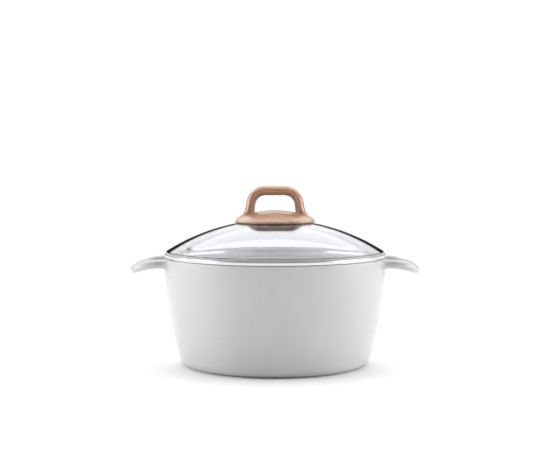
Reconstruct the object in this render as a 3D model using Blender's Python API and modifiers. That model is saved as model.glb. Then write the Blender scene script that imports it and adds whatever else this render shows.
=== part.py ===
"""Two-handled saucepan, 24 cm inside the rim, with a domed glass lid.

Units are metres and +Z is up.  The origin is on the ground at the middle of the
base.  The two side handles lie along X, and so does the bridge of the lid knob.
The pot is one casting with its handles.  The lid lifts off along +Z.
"""

import math

import bmesh
import bpy
from mathutils import Vector

# ---------------------------------------------------------------------------
# Driving dimensions
# ---------------------------------------------------------------------------
GAP = 0.0003                     # air left between two pieces that touch
MERGE = 0.00001                  # distance at which turned points are welded

# Pot casting
POT_RIM_R = 0.1240               # outside radius of the rim
POT_HEIGHT = 0.1200              # ground to the top of the rim
POT_TAPER = 0.0190               # rim radius less the side's radius at the ground
POT_SIDE_POWER = 1.85            # how the side swells between ground and rim
POT_WALL = 0.0040
POT_FLOOR = 0.0060
POT_CORNER_R = 0.0130            # outside, between side and base
POT_INNER_CORNER_R = 0.0120
POT_LIP_R = 0.0012               # rounding of both edges of the rim
CAVITY_CLEAR = 0.0050            # how far the cavity's cutter stands above the rim

# Base plate pressed into the casting
PLATE_MARGIN = 0.0120            # flat ring of the casting left around the plate
PLATE_THICK = 0.0012
PLATE_EDGE = 0.0003              # chamfer of the plate's lower edge

# Side handles, cast with the pot
HANDLE_REACH = 0.0288            # rim to the centre line of the outer bar
HANDLE_HALF_SPAN = 0.0338        # centre plane to the centre line of an arm
HANDLE_TURN_R = 0.0240           # centre-line radius between arm and outer bar
HANDLE_WIDTH = 0.0150
HANDLE_THICK = 0.0100
HANDLE_TOP_DROP = 0.0003         # rim down to the top of the arm at its root
HANDLE_DROOP = 0.0077            # how far the tip hangs below the root
HANDLE_DROOP_POWER = 2.1         # how late the handle bends down
HANDLE_TIP_GROW = 0.16           # the outer bar is thicker than an arm by this share
HANDLE_ROOT_GROW = 0.45          # the root is thicker than an arm by this share
HANDLE_ROOT_RUN = 0.0110         # length over which the root thins to the arm
HANDLE_ROOT_INSET = 0.0140       # how far the arm starts inside the rim's radius

# Lid band, folded from sheet
BAND_SHEET = 0.0006
BAND_HEIGHT = 0.0040
BAND_FOLD_R = 0.0003             # rounding of the outer folds
BAND_SKIRT = 0.0065              # how far the skirt reaches into the pot
BAND_PLAY = 0.0006               # radial play between skirt and pot

# Glass
GLASS_THICK = 0.0040
GLASS_DOME_R = 0.2260            # outer surface
GLASS_LIFT = 0.0008              # glass edge above the band's flange, filled by the seal
GLASS_EDGE_ROUND = 0.0016
GLASS_HOLE_PLAY = 0.0030         # radial room around the knob's screw

# Steam vent
VENT_INSET = 0.0111              # glass's edge to the vent's axis
VENT_TURN = math.radians(214.0)  # direction from the lid's axis
VENT_BORE_R = 0.0016
VENT_TUBE_R = 0.0024
VENT_FLANGE_R = 0.0040
VENT_FLANGE_THICK = 0.0006

# Knob
KNOB_BASE_R = 0.0450
KNOB_CROWN = 0.0096              # crown of the base above the top of the glass
KNOB_DOME_POWER = 2.3            # how the base falls from crown to edge
KNOB_EDGE = 0.0023               # height of the base's edge
KNOB_SEAT = 0.0003               # air between the base and the glass
KNOB_WALL = 0.0040
KNOB_RIM_WIDTH = 0.0045          # ring of the base that faces the glass
BRIDGE_HEIGHT = 0.0369           # top of the bridge above the top of the glass
BRIDGE_THICK = 0.0110
BRIDGE_DEPTH = 0.0200
LEG_INSET = 0.0183               # base's edge to the centre line of a leg's upper end
BRIDGE_TURN_R = 0.0160           # centre-line radius between top and leg
BRIDGE_LEAN = math.radians(10.0) # legs lean out from the vertical
BRIDGE_FOOT_SINK = 0.0025        # leg's end above the lowest point of the base's edge
FOOT_FLARE_HEIGHT = 0.0120
FOOT_FLARE_OUT = 0.0027          # outward shift at the foot
FOOT_FLARE_GROW = 1.05           # foot is thicker than the leg by this share
FOOT_FLARE_GROW_DEPTH = 0.35

# Knob fastening
BOSS_WALL = 0.0048               # around the insert
INSERT_WALL = 0.0011             # around the screw
INSERT_COVER = 0.0023            # crown of the base down to the insert
SCREW_R = 0.0025
SCREW_PLAY = 0.0005              # radial play around the shank
UPPER_GASKET_THICK = 0.0014
UPPER_GASKET_LAP = 0.0055        # beyond the hole in the glass
LOWER_GASKET_WIDTH = 0.0080
LOWER_GASKET_THICK = 0.0014      # at its outer edge
DISH_R = 0.0310
DISH_SHEET = 0.0008
DISH_DEPTH = 0.0060              # flange down to the floor
DISH_FLANGE = 0.0050
DISH_TAPER = 0.0045              # wall's radius at the flange less that at the floor
DISH_WELL_PLAY = 0.0020          # radial room around the screw's head
DISH_WELL_DEPTH = 0.0042         # how far the middle of the floor is raised for the head
DISH_WELL_TAPER = 0.0010
WASHER_WIDTH = 0.0016
WASHER_THICK = 0.0012
WASHER_SPLIT = 0.0012
HEAD_OVERHANG = 0.0023           # head's radius less the shank's
HEAD_HEIGHT = 0.0028
RECESS_WIDTH = 0.0012
RECESS_LENGTH = 0.0056
RECESS_DEPTH = 0.0014

# How finely round shapes are divided
POT_STEPS = 56
LID_STEPS = 56
KNOB_STEPS = 40
SMALL_STEPS = 24
SIDE_POINTS = 8
DOME_POINTS = 9
TUBE_SIDES_RESOLUTION = 4        # 12 sides

# ---------------------------------------------------------------------------
# Worked out from the above
# ---------------------------------------------------------------------------
BORE_R = POT_RIM_R - POT_WALL
BAND_BASE_Z = POT_HEIGHT + GAP
BAND_FLOOR_Z = BAND_BASE_Z + BAND_SHEET
BAND_TOP_Z = BAND_BASE_Z + BAND_HEIGHT
BAND_INNER_R = POT_RIM_R - BAND_SHEET
SKIRT_OUTER_R = BORE_R - BAND_PLAY
SKIRT_INNER_R = SKIRT_OUTER_R - BAND_SHEET

SCREW_HOLE_R = SCREW_R + SCREW_PLAY
GLASS_HOLE_R = SCREW_R + GLASS_HOLE_PLAY
INSERT_R = SCREW_R + GAP + INSERT_WALL
BOSS_R = INSERT_R + GAP + BOSS_WALL
UPPER_GASKET_R = GLASS_HOLE_R + UPPER_GASKET_LAP
WASHER_R = SCREW_HOLE_R + WASHER_WIDTH
HEAD_R = SCREW_R + HEAD_OVERHANG
DISH_TOP_R = DISH_R - DISH_FLANGE
DISH_FLOOR_R = DISH_TOP_R - DISH_TAPER
DISH_WELL_R = HEAD_R + DISH_WELL_PLAY

GLASS_R = BAND_INNER_R - GAP
GLASS_INNER_DOME_R = GLASS_DOME_R - GLASS_THICK
DOME_CENTRE_Z = BAND_FLOOR_Z + GLASS_LIFT - math.sqrt(GLASS_INNER_DOME_R ** 2 - GLASS_R ** 2)
GLASS_TOP_Z = DOME_CENTRE_Z + GLASS_DOME_R

VENT_AT_R = GLASS_R - VENT_INSET

CROWN_Z = GLASS_TOP_Z + KNOB_CROWN
GASKET_BASE_Z = GLASS_TOP_Z + GAP
BOSS_BASE_Z = GASKET_BASE_Z + UPPER_GASKET_THICK + GAP
INSERT_BASE_Z = BOSS_BASE_Z + GAP
INSERT_TOP_Z = CROWN_Z - INSERT_COVER


def outer_glass(r):
    """Height of the glass's upper surface at radius r."""
    return DOME_CENTRE_Z + math.sqrt(GLASS_DOME_R ** 2 - r ** 2)


def inner_glass(r):
    """Height of the glass's lower surface at radius r."""
    return DOME_CENTRE_Z + math.sqrt(GLASS_INNER_DOME_R ** 2 - r ** 2)


def facet_sag(r):
    """How far the glass's flat facets lie inside its true sphere near radius r."""
    lean_cosine_squared = 1.0 - (r / GLASS_DOME_R) ** 2
    span = (GLASS_R - GLASS_HOLE_R) / (DOME_POINTS - 1)
    along = span ** 2 / lean_cosine_squared / (8 * GLASS_DOME_R)
    around = r * (1.0 - math.cos(math.pi / LID_STEPS)) * r / GLASS_DOME_R
    return along + around


def under_glass(r):
    """Height at radius r of a piece that touches the glass from below."""
    return inner_glass(r) - facet_sag(r) - GAP


LOWER_GASKET_BASE_Z = under_glass(DISH_R) - LOWER_GASKET_THICK
DISH_FLANGE_Z = LOWER_GASKET_BASE_Z - GAP
DISH_FLOOR_Z = DISH_FLANGE_Z - DISH_DEPTH
DISH_WELL_Z = DISH_FLOOR_Z + DISH_WELL_DEPTH
WASHER_TOP_Z = DISH_WELL_Z - GAP
HEAD_TOP_Z = WASHER_TOP_Z - WASHER_THICK - GAP
KNOB_EDGE_Z = outer_glass(KNOB_BASE_R) + KNOB_SEAT
KNOB_EDGE_TOP_Z = KNOB_EDGE_Z + KNOB_EDGE


# ---------------------------------------------------------------------------
# Outline helpers: every outline is a list of (radius, height) points
# ---------------------------------------------------------------------------
def arc(centre, radius, start, end, steps):
    """Points of an arc, with its two angles in degrees."""
    angles = [math.radians(start + (end - start) * i / steps) for i in range(steps + 1)]
    return [(centre[0] + radius * math.cos(a), centre[1] + radius * math.sin(a)) for a in angles]


def ease(begin, corner, finish, steps=3):
    """Round off the corner between two points."""
    points = []
    for i in range(steps + 1):
        t = i / steps
        weights = ((1 - t) ** 2, 2 * t * (1 - t), t ** 2)
        points.append(tuple(weights[0] * begin[k] + weights[1] * corner[k] + weights[2] * finish[k]
                            for k in range(2)))
    return points


def spread(low, high, count):
    """Evenly spaced values from low to high."""
    return [low + (high - low) * i / (count - 1) for i in range(count)]


# ---------------------------------------------------------------------------
# Object helpers
# ---------------------------------------------------------------------------
def clear_scene():
    """Remove every object, so that the model starts from nothing."""
    for thing in list(bpy.data.objects):
        bpy.data.objects.remove(thing, do_unlink=True)


def new_group(name):
    """Make a collection in the scene."""
    group = bpy.data.collections.new(name)
    bpy.context.scene.collection.children.link(group)
    return group


def turned(name, outline, steps, group, ring=False):
    """Turn an outline about Z.  A ring's outline closes on itself."""
    mesh = bpy.data.meshes.new(name)
    edges = [(i, i + 1) for i in range(len(outline) - 1)]
    if ring:
        edges.append((len(outline) - 1, 0))
    mesh.from_pydata([(r, 0.0, z) for r, z in outline], edges, [])
    piece = bpy.data.objects.new(name, mesh)
    group.objects.link(piece)
    screw = piece.modifiers.new("turn", "SCREW")
    screw.steps = steps
    screw.render_steps = steps
    screw.use_merge_vertices = True
    screw.merge_threshold = MERGE
    screw.use_smooth_shade = True
    return piece


def cylinder_cutter(name, radius, low_z, high_z, group, steps=SMALL_STEPS):
    """A plain round cutter on the Z axis."""
    outline = [(0.0, high_z), (radius, high_z), (radius, low_z), (0.0, low_z)]
    return hide_tool(turned(name, outline, steps, group))


def box_cutter(name, size, centre, group):
    """A plain box cutter."""
    mesh = bpy.data.meshes.new(name)
    shape = bmesh.new()
    bmesh.ops.create_cube(shape, size=1.0)
    bmesh.ops.scale(shape, vec=Vector(size), verts=shape.verts)
    bmesh.ops.translate(shape, vec=Vector(centre), verts=shape.verts)
    shape.to_mesh(mesh)
    shape.free()
    tool = bpy.data.objects.new(name, mesh)
    group.objects.link(tool)
    return hide_tool(tool)


def hide_tool(tool):
    """Mark an object as a construction tool that isn't part of the model."""
    tool.hide_render = True
    tool.display_type = "WIRE"
    return tool


def combine(piece, tool, operation):
    """Join a tool to a piece or cut it away."""
    boolean = piece.modifiers.new(operation.lower() + "_" + tool.name, "BOOLEAN")
    boolean.operation = operation
    boolean.solver = "EXACT"
    boolean.object = tool


def swept_tube(name, path, radius, swell, group):
    """Sweep a circle along a path and return it as one closed mesh object."""
    curve = bpy.data.curves.new(name, "CURVE")
    curve.dimensions = "3D"
    curve.bevel_depth = radius
    curve.bevel_resolution = TUBE_SIDES_RESOLUTION
    curve.use_fill_caps = True
    spline = curve.splines.new("POLY")
    spline.points.add(len(path) - 1)
    for point, place, scale in zip(spline.points, path, swell):
        point.co = (*place, 1.0)
        point.radius = scale
    guide = bpy.data.objects.new(name + "_guide", curve)
    group.objects.link(guide)
    bpy.context.view_layer.update()
    graph = bpy.context.evaluated_depsgraph_get()
    mesh = bpy.data.meshes.new_from_object(guide.evaluated_get(graph))
    bpy.data.objects.remove(guide, do_unlink=True)
    shape = bmesh.new()
    shape.from_mesh(mesh)
    bmesh.ops.remove_doubles(shape, verts=shape.verts, dist=MERGE)
    bmesh.ops.recalc_face_normals(shape, faces=shape.faces)
    shape.to_mesh(mesh)
    shape.free()
    mesh.shade_smooth()
    tube = bpy.data.objects.new(name, mesh)
    group.objects.link(tube)
    return hide_tool(tube)


def finish(piece, colour, roughness, metallic=0.0, transmission=0.0):
    """Give a piece a material of its own."""
    material = bpy.data.materials.new(piece.name)
    material.use_nodes = True
    shader = material.node_tree.nodes["Principled BSDF"]
    shader.inputs["Base Color"].default_value = (*colour, 1.0)
    shader.inputs["Roughness"].default_value = roughness
    shader.inputs["Metallic"].default_value = metallic
    shader.inputs["Transmission Weight"].default_value = transmission
    piece.data.materials.append(material)


# ---------------------------------------------------------------------------
# Pot
# ---------------------------------------------------------------------------
def side_radius(z):
    """Outside radius of the pot's side at height z."""
    return POT_RIM_R - POT_TAPER * (1.0 - z / POT_HEIGHT) ** POT_SIDE_POWER


def side_slope(z):
    """How fast the side's radius grows with height."""
    share = (1.0 - z / POT_HEIGHT) ** (POT_SIDE_POWER - 1.0)
    return POT_TAPER * POT_SIDE_POWER / POT_HEIGHT * share


def corner_fit(offset, floor_z, corner_r):
    """Where a corner's arc touches the side: height, tilt there, and arc's centre radius."""
    tilt = 0.0
    for _ in range(30):
        touch_z = floor_z + corner_r * (1.0 - math.sin(tilt))
        tilt = math.atan(side_slope(touch_z))
    return touch_z, tilt, side_radius(touch_z) - offset - corner_r * math.cos(tilt)


PLATE_R = corner_fit(0.0, 0.0, POT_CORNER_R)[2] - PLATE_MARGIN


def side_and_corner(offset, top_z, floor_z, corner_r):
    """Outline down the side, moved inwards by offset, and round to the floor."""
    touch_z, tilt, centre_r = corner_fit(offset, floor_z, corner_r)
    side = [(side_radius(z) - offset, z) for z in spread(top_z, touch_z, SIDE_POINTS)]
    corner = arc((centre_r, floor_z + corner_r), corner_r, -math.degrees(tilt), -90.0, 6)
    return side + corner[1:]


def handle_swell(x):
    """Thickness of a handle at distance x from the axis, as a share of the arm's."""
    root = (POT_RIM_R + HANDLE_ROOT_RUN - x) / HANDLE_ROOT_RUN
    tip = (x - POT_RIM_R) / HANDLE_REACH
    grown = HANDLE_ROOT_GROW * min(max(root, 0.0), 1.0) ** 2 + HANDLE_TIP_GROW * max(tip, 0.0) ** 2
    return 1.0 + grown


def handle_top(x):
    """Height of a handle's upper side at distance x from the axis."""
    reach = max((x - POT_RIM_R) / (HANDLE_REACH + HANDLE_WIDTH / 2), 0.0)
    return POT_HEIGHT - HANDLE_TOP_DROP - HANDLE_DROOP * reach ** HANDLE_DROOP_POWER


def make_handle(name, tools):
    """The loop of one handle, swept round, flattened and bent down, on the +X side."""
    outer_x = POT_RIM_R + HANDLE_REACH
    turn_x = outer_x - HANDLE_TURN_R
    turn_y = HANDLE_HALF_SPAN - HANDLE_TURN_R
    root_x = POT_RIM_R - HANDLE_ROOT_INSET
    arm = [(x, -HANDLE_HALF_SPAN) for x in spread(root_x, turn_x, 7)]
    turn = arc((turn_x, -turn_y), HANDLE_TURN_R, -90.0, 0.0, 8)
    half = arm + turn[1:]
    plan = half + [(x, -y) for x, y in reversed(half)]
    stretch = HANDLE_WIDTH / HANDLE_THICK
    path = [(x, y, -handle_swell(x) * HANDLE_WIDTH / 2) for x, y in plan]
    swell = [handle_swell(x) for x, y in plan]
    handle = swept_tube(name, path, HANDLE_WIDTH / 2, swell, tools)
    for vertex in handle.data.vertices:
        vertex.co.z = vertex.co.z / stretch + handle_top(vertex.co.x)
    return handle


def make_pot(parts, tools):
    """The casting: turned outside, two handles, hollow inside, seat for the plate."""
    seat_r = PLATE_R + GAP
    seat_z = PLATE_THICK + GAP
    outline = [(0.0, POT_HEIGHT)]
    outline += arc((POT_RIM_R - POT_LIP_R, POT_HEIGHT - POT_LIP_R), POT_LIP_R, 90.0, 0.0, 3)
    outline += side_and_corner(0.0, POT_HEIGHT - POT_LIP_R, 0.0, POT_CORNER_R)[1:]
    outline += [(seat_r, 0.0), (seat_r, seat_z), (0.0, seat_z)]
    pot = turned("pot_body", outline, POT_STEPS, parts)

    right = make_handle("right_handle_shape", tools)
    left = make_handle("left_handle_shape", tools)
    left.rotation_euler.z = math.pi
    combine(pot, right, "UNION")
    combine(pot, left, "UNION")

    inner_r = side_radius(POT_HEIGHT - POT_LIP_R) - POT_WALL
    mouth_r = inner_r + POT_LIP_R
    cavity = [(0.0, POT_HEIGHT + CAVITY_CLEAR), (mouth_r, POT_HEIGHT + CAVITY_CLEAR)]
    cavity += arc((mouth_r, POT_HEIGHT - POT_LIP_R), POT_LIP_R, 90.0, 180.0, 3)
    cavity += side_and_corner(POT_WALL, POT_HEIGHT - POT_LIP_R, POT_FLOOR, POT_INNER_CORNER_R)[1:]
    cavity += [(0.0, POT_FLOOR)]
    combine(pot, hide_tool(turned("cavity_shape", cavity, POT_STEPS, tools)), "DIFFERENCE")
    finish(pot, (0.86, 0.85, 0.84), 0.32)
    return pot


def make_base_plate(parts):
    """The steel plate that lies flush in the base."""
    outline = [(0.0, PLATE_THICK), (PLATE_R, PLATE_THICK), (PLATE_R, PLATE_EDGE),
               (PLATE_R - PLATE_EDGE, 0.0), (0.0, 0.0)]
    plate = turned("induction_base_plate", outline, POT_STEPS, parts)
    finish(plate, (0.62, 0.62, 0.63), 0.35, metallic=1.0)
    return plate


# ---------------------------------------------------------------------------
# Lid: band, seal, glass and vent
# ---------------------------------------------------------------------------
def make_band(parts):
    """The folded band: outer wall, flange on the pot's rim, skirt inside the pot."""
    skirt_z = BAND_BASE_Z - BAND_SKIRT
    outline = [(BAND_INNER_R, BAND_TOP_Z), (POT_RIM_R - BAND_FOLD_R, BAND_TOP_Z)]
    outline += [(POT_RIM_R, BAND_TOP_Z - BAND_FOLD_R), (POT_RIM_R, BAND_BASE_Z + BAND_FOLD_R)]
    outline += [(POT_RIM_R - BAND_FOLD_R, BAND_BASE_Z), (SKIRT_OUTER_R, BAND_BASE_Z)]
    outline += [(SKIRT_OUTER_R, skirt_z), (SKIRT_INNER_R, skirt_z)]
    outline += [(SKIRT_INNER_R, BAND_FLOOR_Z), (BAND_INNER_R, BAND_FLOOR_Z)]
    band = turned("lid_rim_band", outline, LID_STEPS, parts, ring=True)
    finish(band, (0.72, 0.72, 0.73), 0.12, metallic=1.0)
    return band


def make_seal(parts):
    """The wedge-shaped seal that beds the glass on the band's flange."""
    low_z = BAND_FLOOR_Z + GAP
    outer_r = GLASS_R - GAP
    inner_r = SKIRT_OUTER_R
    outline = [(inner_r, under_glass(inner_r)), (outer_r, under_glass(outer_r))]
    outline += [(outer_r, low_z), (inner_r, low_z)]
    seal = turned("glass_seal", outline, LID_STEPS, parts, ring=True)
    finish(seal, (0.42, 0.42, 0.44), 0.4)
    return seal


def make_glass(parts, tools):
    """The dome, with a hole for the knob's screw and one for the vent."""
    round_off = GLASS_EDGE_ROUND
    shoulder_r = GLASS_R - round_off
    upper = [(r, outer_glass(r)) for r in spread(GLASS_HOLE_R, shoulder_r, DOME_POINTS)]
    crest = outer_glass(GLASS_R)
    edge = ease(upper[-1], (GLASS_R, crest), (GLASS_R, crest - round_off))
    foot = inner_glass(GLASS_R)
    small = round_off / 2
    toe = ease((GLASS_R, foot + small), (GLASS_R, foot), (GLASS_R - small, inner_glass(GLASS_R - small)))
    lower = [(r, inner_glass(r)) for r in spread(GLASS_R - small, GLASS_HOLE_R, DOME_POINTS)]
    outline = upper + edge[1:] + toe + lower[1:]
    glass = turned("lid_glass", outline, LID_STEPS, parts, ring=True)

    drill = cylinder_cutter("vent_drill", VENT_TUBE_R + GAP, -2 * GLASS_THICK, GLASS_THICK, tools)
    place_on_glass(drill, VENT_AT_R, VENT_TURN)
    combine(glass, drill, "DIFFERENCE")
    finish(glass, (0.96, 0.98, 0.98), 0.02, transmission=1.0)
    return glass


def place_on_glass(piece, r, turn):
    """Stand a piece's own Z axis square on the glass at radius r."""
    lean = math.asin(r / GLASS_DOME_R)
    piece.rotation_euler = (0.0, lean, turn)
    piece.location = (r * math.cos(turn), r * math.sin(turn), outer_glass(r))


def make_vent(parts):
    """The riveted tube with a flange on each side of the glass."""
    face = VENT_FLANGE_THICK + GAP
    below = -GLASS_THICK - GAP - facet_sag(VENT_AT_R)
    outline = [(VENT_BORE_R, face), (VENT_FLANGE_R - VENT_FLANGE_THICK / 2, face)]
    outline += [(VENT_FLANGE_R, face - VENT_FLANGE_THICK / 2), (VENT_FLANGE_R, GAP)]
    outline += [(VENT_TUBE_R, GAP), (VENT_TUBE_R, below), (VENT_FLANGE_R, below)]
    outline += [(VENT_FLANGE_R, below - VENT_FLANGE_THICK), (VENT_BORE_R, below - VENT_FLANGE_THICK)]
    vent = turned("steam_vent_eyelet", outline, SMALL_STEPS, parts, ring=True)
    place_on_glass(vent, VENT_AT_R, VENT_TURN)
    finish(vent, (0.70, 0.70, 0.71), 0.2, metallic=1.0)
    return vent


# ---------------------------------------------------------------------------
# Knob and its fastening
# ---------------------------------------------------------------------------
def knob_top(r):
    """Height of the upper surface of the knob's base at radius r."""
    fall = CROWN_Z - KNOB_EDGE_TOP_Z
    return CROWN_Z - fall * (r / KNOB_BASE_R) ** KNOB_DOME_POWER


def leg_centre(z, leg_top):
    """Distance of a leg's centre line from the axis at height z."""
    return leg_top[0] + (leg_top[1] - z) * math.tan(BRIDGE_LEAN)


def make_bridge(name, tools):
    """The bridge over the knob's base, deeper than it is thick, with flared feet."""
    top_z = GLASS_TOP_Z + BRIDGE_HEIGHT - BRIDGE_THICK / 2
    half_flat = KNOB_BASE_R - LEG_INSET - BRIDGE_TURN_R * math.cos(BRIDGE_LEAN)
    centre = (half_flat, top_z - BRIDGE_TURN_R)
    turn = arc(centre, BRIDGE_TURN_R, 90.0, math.degrees(BRIDGE_LEAN), 8)
    leg_top = turn[-1]
    foot_z = KNOB_EDGE_Z + BRIDGE_FOOT_SINK
    leg = [(leg_centre(z, leg_top), z) for z in spread(leg_top[1], foot_z, 7)]
    half = turn + leg[1:]
    route = [(-x, z) for x, z in reversed(half)] + half
    path = [(x, 0.0, z) for x, z in route]
    bridge = swept_tube(name, path, BRIDGE_THICK / 2, [1.0] * len(path), tools)
    flare_z = foot_z + FOOT_FLARE_HEIGHT
    for vertex in bridge.data.vertices:
        place = vertex.co
        place.y *= BRIDGE_DEPTH / BRIDGE_THICK
        share = min(max((flare_z - place.z) / FOOT_FLARE_HEIGHT, 0.0), 1.0) ** 2
        side = math.copysign(1.0, place.x)
        middle = leg_centre(place.z, leg_top)
        grown = (abs(place.x) - middle) * (1.0 + FOOT_FLARE_GROW * share)
        if share > 0.0:
            place.x = side * (middle + grown + FOOT_FLARE_OUT * share)
            place.y *= 1.0 + FOOT_FLARE_GROW_DEPTH * share
    return bridge


def make_knob(parts, tools):
    """The moulding: domed base, bridge, hollow underside, boss for the insert."""
    round_off = KNOB_EDGE / 2
    crown_r = KNOB_BASE_R - round_off
    top = [(r, knob_top(r)) for r in spread(0.0, crown_r, 9)]
    edge = ease(top[-1], (KNOB_BASE_R, KNOB_EDGE_TOP_Z), (KNOB_BASE_R, KNOB_EDGE_TOP_Z - round_off))
    toe_r = KNOB_BASE_R - round_off / 2
    toe = ease((KNOB_BASE_R, KNOB_EDGE_Z + round_off / 2), (KNOB_BASE_R, KNOB_EDGE_Z),
               (toe_r, outer_glass(toe_r) + KNOB_SEAT))
    seat = [(r, outer_glass(r) + KNOB_SEAT) for r in spread(toe_r, 0.0, 5)]
    knob = turned("lid_knob", top + edge[1:] + toe + seat[1:], KNOB_STEPS, parts)
    combine(knob, make_bridge("bridge_shape", tools), "UNION")

    hollow_r = KNOB_BASE_R - KNOB_RIM_WIDTH
    below_z = outer_glass(hollow_r) - KNOB_WALL
    hollow = [(0.0, BOSS_BASE_Z), (BOSS_R, BOSS_BASE_Z)]
    hollow += [(r, knob_top(r) - KNOB_WALL) for r in spread(BOSS_R, hollow_r, 7)]
    hollow += [(hollow_r, below_z), (0.0, below_z)]
    combine(knob, hide_tool(turned("hollow_shape", hollow, KNOB_STEPS, tools)), "DIFFERENCE")
    socket = cylinder_cutter("insert_socket", INSERT_R + GAP, BOSS_BASE_Z - GAP, INSERT_TOP_Z + GAP, tools)
    combine(knob, socket, "DIFFERENCE")
    finish(knob, (0.56, 0.36, 0.25), 0.5)
    return knob


def tube_ring(name, inner_r, outer_r, low_z, high_z, parts, steps=SMALL_STEPS):
    """A plain ring with square edges."""
    outline = [(inner_r, high_z), (outer_r, high_z), (outer_r, low_z), (inner_r, low_z)]
    return turned(name, outline, steps, parts, ring=True)


def make_insert(parts):
    """The brass insert that takes the screw."""
    insert = tube_ring("knob_insert", SCREW_R + GAP, INSERT_R, INSERT_BASE_Z, INSERT_TOP_Z, parts)
    finish(insert, (0.78, 0.60, 0.28), 0.3, metallic=1.0)
    return insert


def make_upper_gasket(parts):
    """The washer between the knob's boss and the glass."""
    gasket = tube_ring("upper_gasket", SCREW_HOLE_R, UPPER_GASKET_R, GASKET_BASE_Z,
                       GASKET_BASE_Z + UPPER_GASKET_THICK, parts)
    finish(gasket, (0.10, 0.10, 0.11), 0.6)
    return gasket


def make_lower_gasket(parts):
    """The ring between the glass and the dish, hollowed to the glass's curve."""
    inner_r = DISH_R - LOWER_GASKET_WIDTH
    outline = [(r, under_glass(r)) for r in spread(inner_r, DISH_R, 3)]
    outline += [(DISH_R, LOWER_GASKET_BASE_Z), (inner_r, LOWER_GASKET_BASE_Z)]
    gasket = turned("lower_gasket", outline, KNOB_STEPS, parts, ring=True)
    finish(gasket, (0.16, 0.17, 0.20), 0.55)
    return gasket


def make_dish(parts):
    """The pressed steel dish under the glass, with a well that hides the screw's head."""
    top_z = DISH_FLANGE_Z
    under_z = top_z - DISH_SHEET
    floor_z = DISH_FLOOR_Z
    outline = [(DISH_TOP_R - DISH_SHEET, top_z), (DISH_R, top_z), (DISH_R, under_z)]
    outline += ease((DISH_TOP_R + DISH_SHEET, under_z), (DISH_TOP_R, under_z),
                    (DISH_TOP_R - DISH_SHEET / 2, under_z - DISH_SHEET), 2)
    outline += ease((DISH_FLOOR_R + DISH_SHEET, floor_z + 2 * DISH_SHEET), (DISH_FLOOR_R, floor_z),
                    (DISH_FLOOR_R - 2 * DISH_SHEET, floor_z))
    mouth_r = DISH_WELL_R + DISH_WELL_TAPER
    outline += [(mouth_r, floor_z), (DISH_WELL_R, DISH_WELL_Z), (SCREW_HOLE_R, DISH_WELL_Z)]
    outline += [(SCREW_HOLE_R, DISH_WELL_Z + DISH_SHEET), (DISH_WELL_R + DISH_SHEET, DISH_WELL_Z + DISH_SHEET)]
    outline += [(mouth_r + DISH_SHEET, floor_z + DISH_SHEET)]
    outline += [(DISH_FLOOR_R - 2 * DISH_SHEET, floor_z + DISH_SHEET)]
    dish = turned("retaining_plate", outline, KNOB_STEPS, parts, ring=True)
    finish(dish, (0.45, 0.46, 0.49), 0.25, metallic=1.0)
    return dish


def make_washer(parts, tools):
    """The split spring washer under the screw's head."""
    low_z = WASHER_TOP_Z - WASHER_THICK
    washer = tube_ring("spring_washer", SCREW_HOLE_R, WASHER_R, low_z, WASHER_TOP_Z, parts)
    middle = (WASHER_R, 0.0, (low_z + WASHER_TOP_Z) / 2)
    split = box_cutter("washer_split", (2 * (WASHER_R - SCREW_R), WASHER_SPLIT, 2 * WASHER_THICK),
                       middle, tools)
    combine(washer, split, "DIFFERENCE")
    finish(washer, (0.55, 0.55, 0.56), 0.35, metallic=1.0)
    return washer


def make_screw(parts, tools):
    """The screw that clamps knob, glass and dish together, with a cross recess."""
    low_z = HEAD_TOP_Z - HEAD_HEIGHT
    tip_z = INSERT_TOP_Z - GAP
    tip = SCREW_R / 4
    outline = [(0.0, tip_z), (SCREW_R - tip, tip_z), (SCREW_R, tip_z - tip), (SCREW_R, HEAD_TOP_Z)]
    outline += [(HEAD_R, HEAD_TOP_Z)]
    outline += ease((HEAD_R, HEAD_TOP_Z - HEAD_HEIGHT / 3), (HEAD_R, low_z), (HEAD_R / 2, low_z))
    outline += [(0.0, low_z)]
    screw = turned("knob_screw", outline, SMALL_STEPS, parts)
    for name, size in (("recess_x", (RECESS_LENGTH, RECESS_WIDTH)), ("recess_y", (RECESS_WIDTH, RECESS_LENGTH))):
        slot = box_cutter(name, (*size, 2 * RECESS_DEPTH), (0.0, 0.0, low_z), tools)
        combine(screw, slot, "DIFFERENCE")
    finish(screw, (0.66, 0.66, 0.67), 0.25, metallic=1.0)
    return screw


# ---------------------------------------------------------------------------
# Assembly
# ---------------------------------------------------------------------------
def main():
    """Build every piece and hang the lid's pieces on the axis it lifts along."""
    clear_scene()
    parts = new_group("two_handled_saucepan")
    tools = new_group("construction_tools")

    make_pot(parts, tools)
    make_base_plate(parts)

    lift_axis = bpy.data.objects.new("lid_lift_axis", None)
    lift_axis.location = (0.0, 0.0, POT_HEIGHT)
    parts.objects.link(lift_axis)
    bpy.context.view_layer.update()
    lid = [make_band(parts), make_seal(parts), make_glass(parts, tools), make_vent(parts)]
    lid += [make_knob(parts, tools), make_insert(parts), make_upper_gasket(parts)]
    lid += [make_lower_gasket(parts), make_dish(parts), make_washer(parts, tools)]
    lid += [make_screw(parts, tools)]
    for piece in lid:
        piece.parent = lift_axis
        piece.matrix_parent_inverse = lift_axis.matrix_world.inverted()


main()
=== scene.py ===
"""Two-handled white saucepan with a domed glass lid and a wood-effect knob.

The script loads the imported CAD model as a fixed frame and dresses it.  Units are
metres, +Z is up, and the two side handles lie along X.  Each sub-assembly is a
class that builds its own meshes in place and gives them their finishes.
"""

import logging
import math
from dataclasses import dataclass
from enum import Enum
from functools import partial

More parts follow.
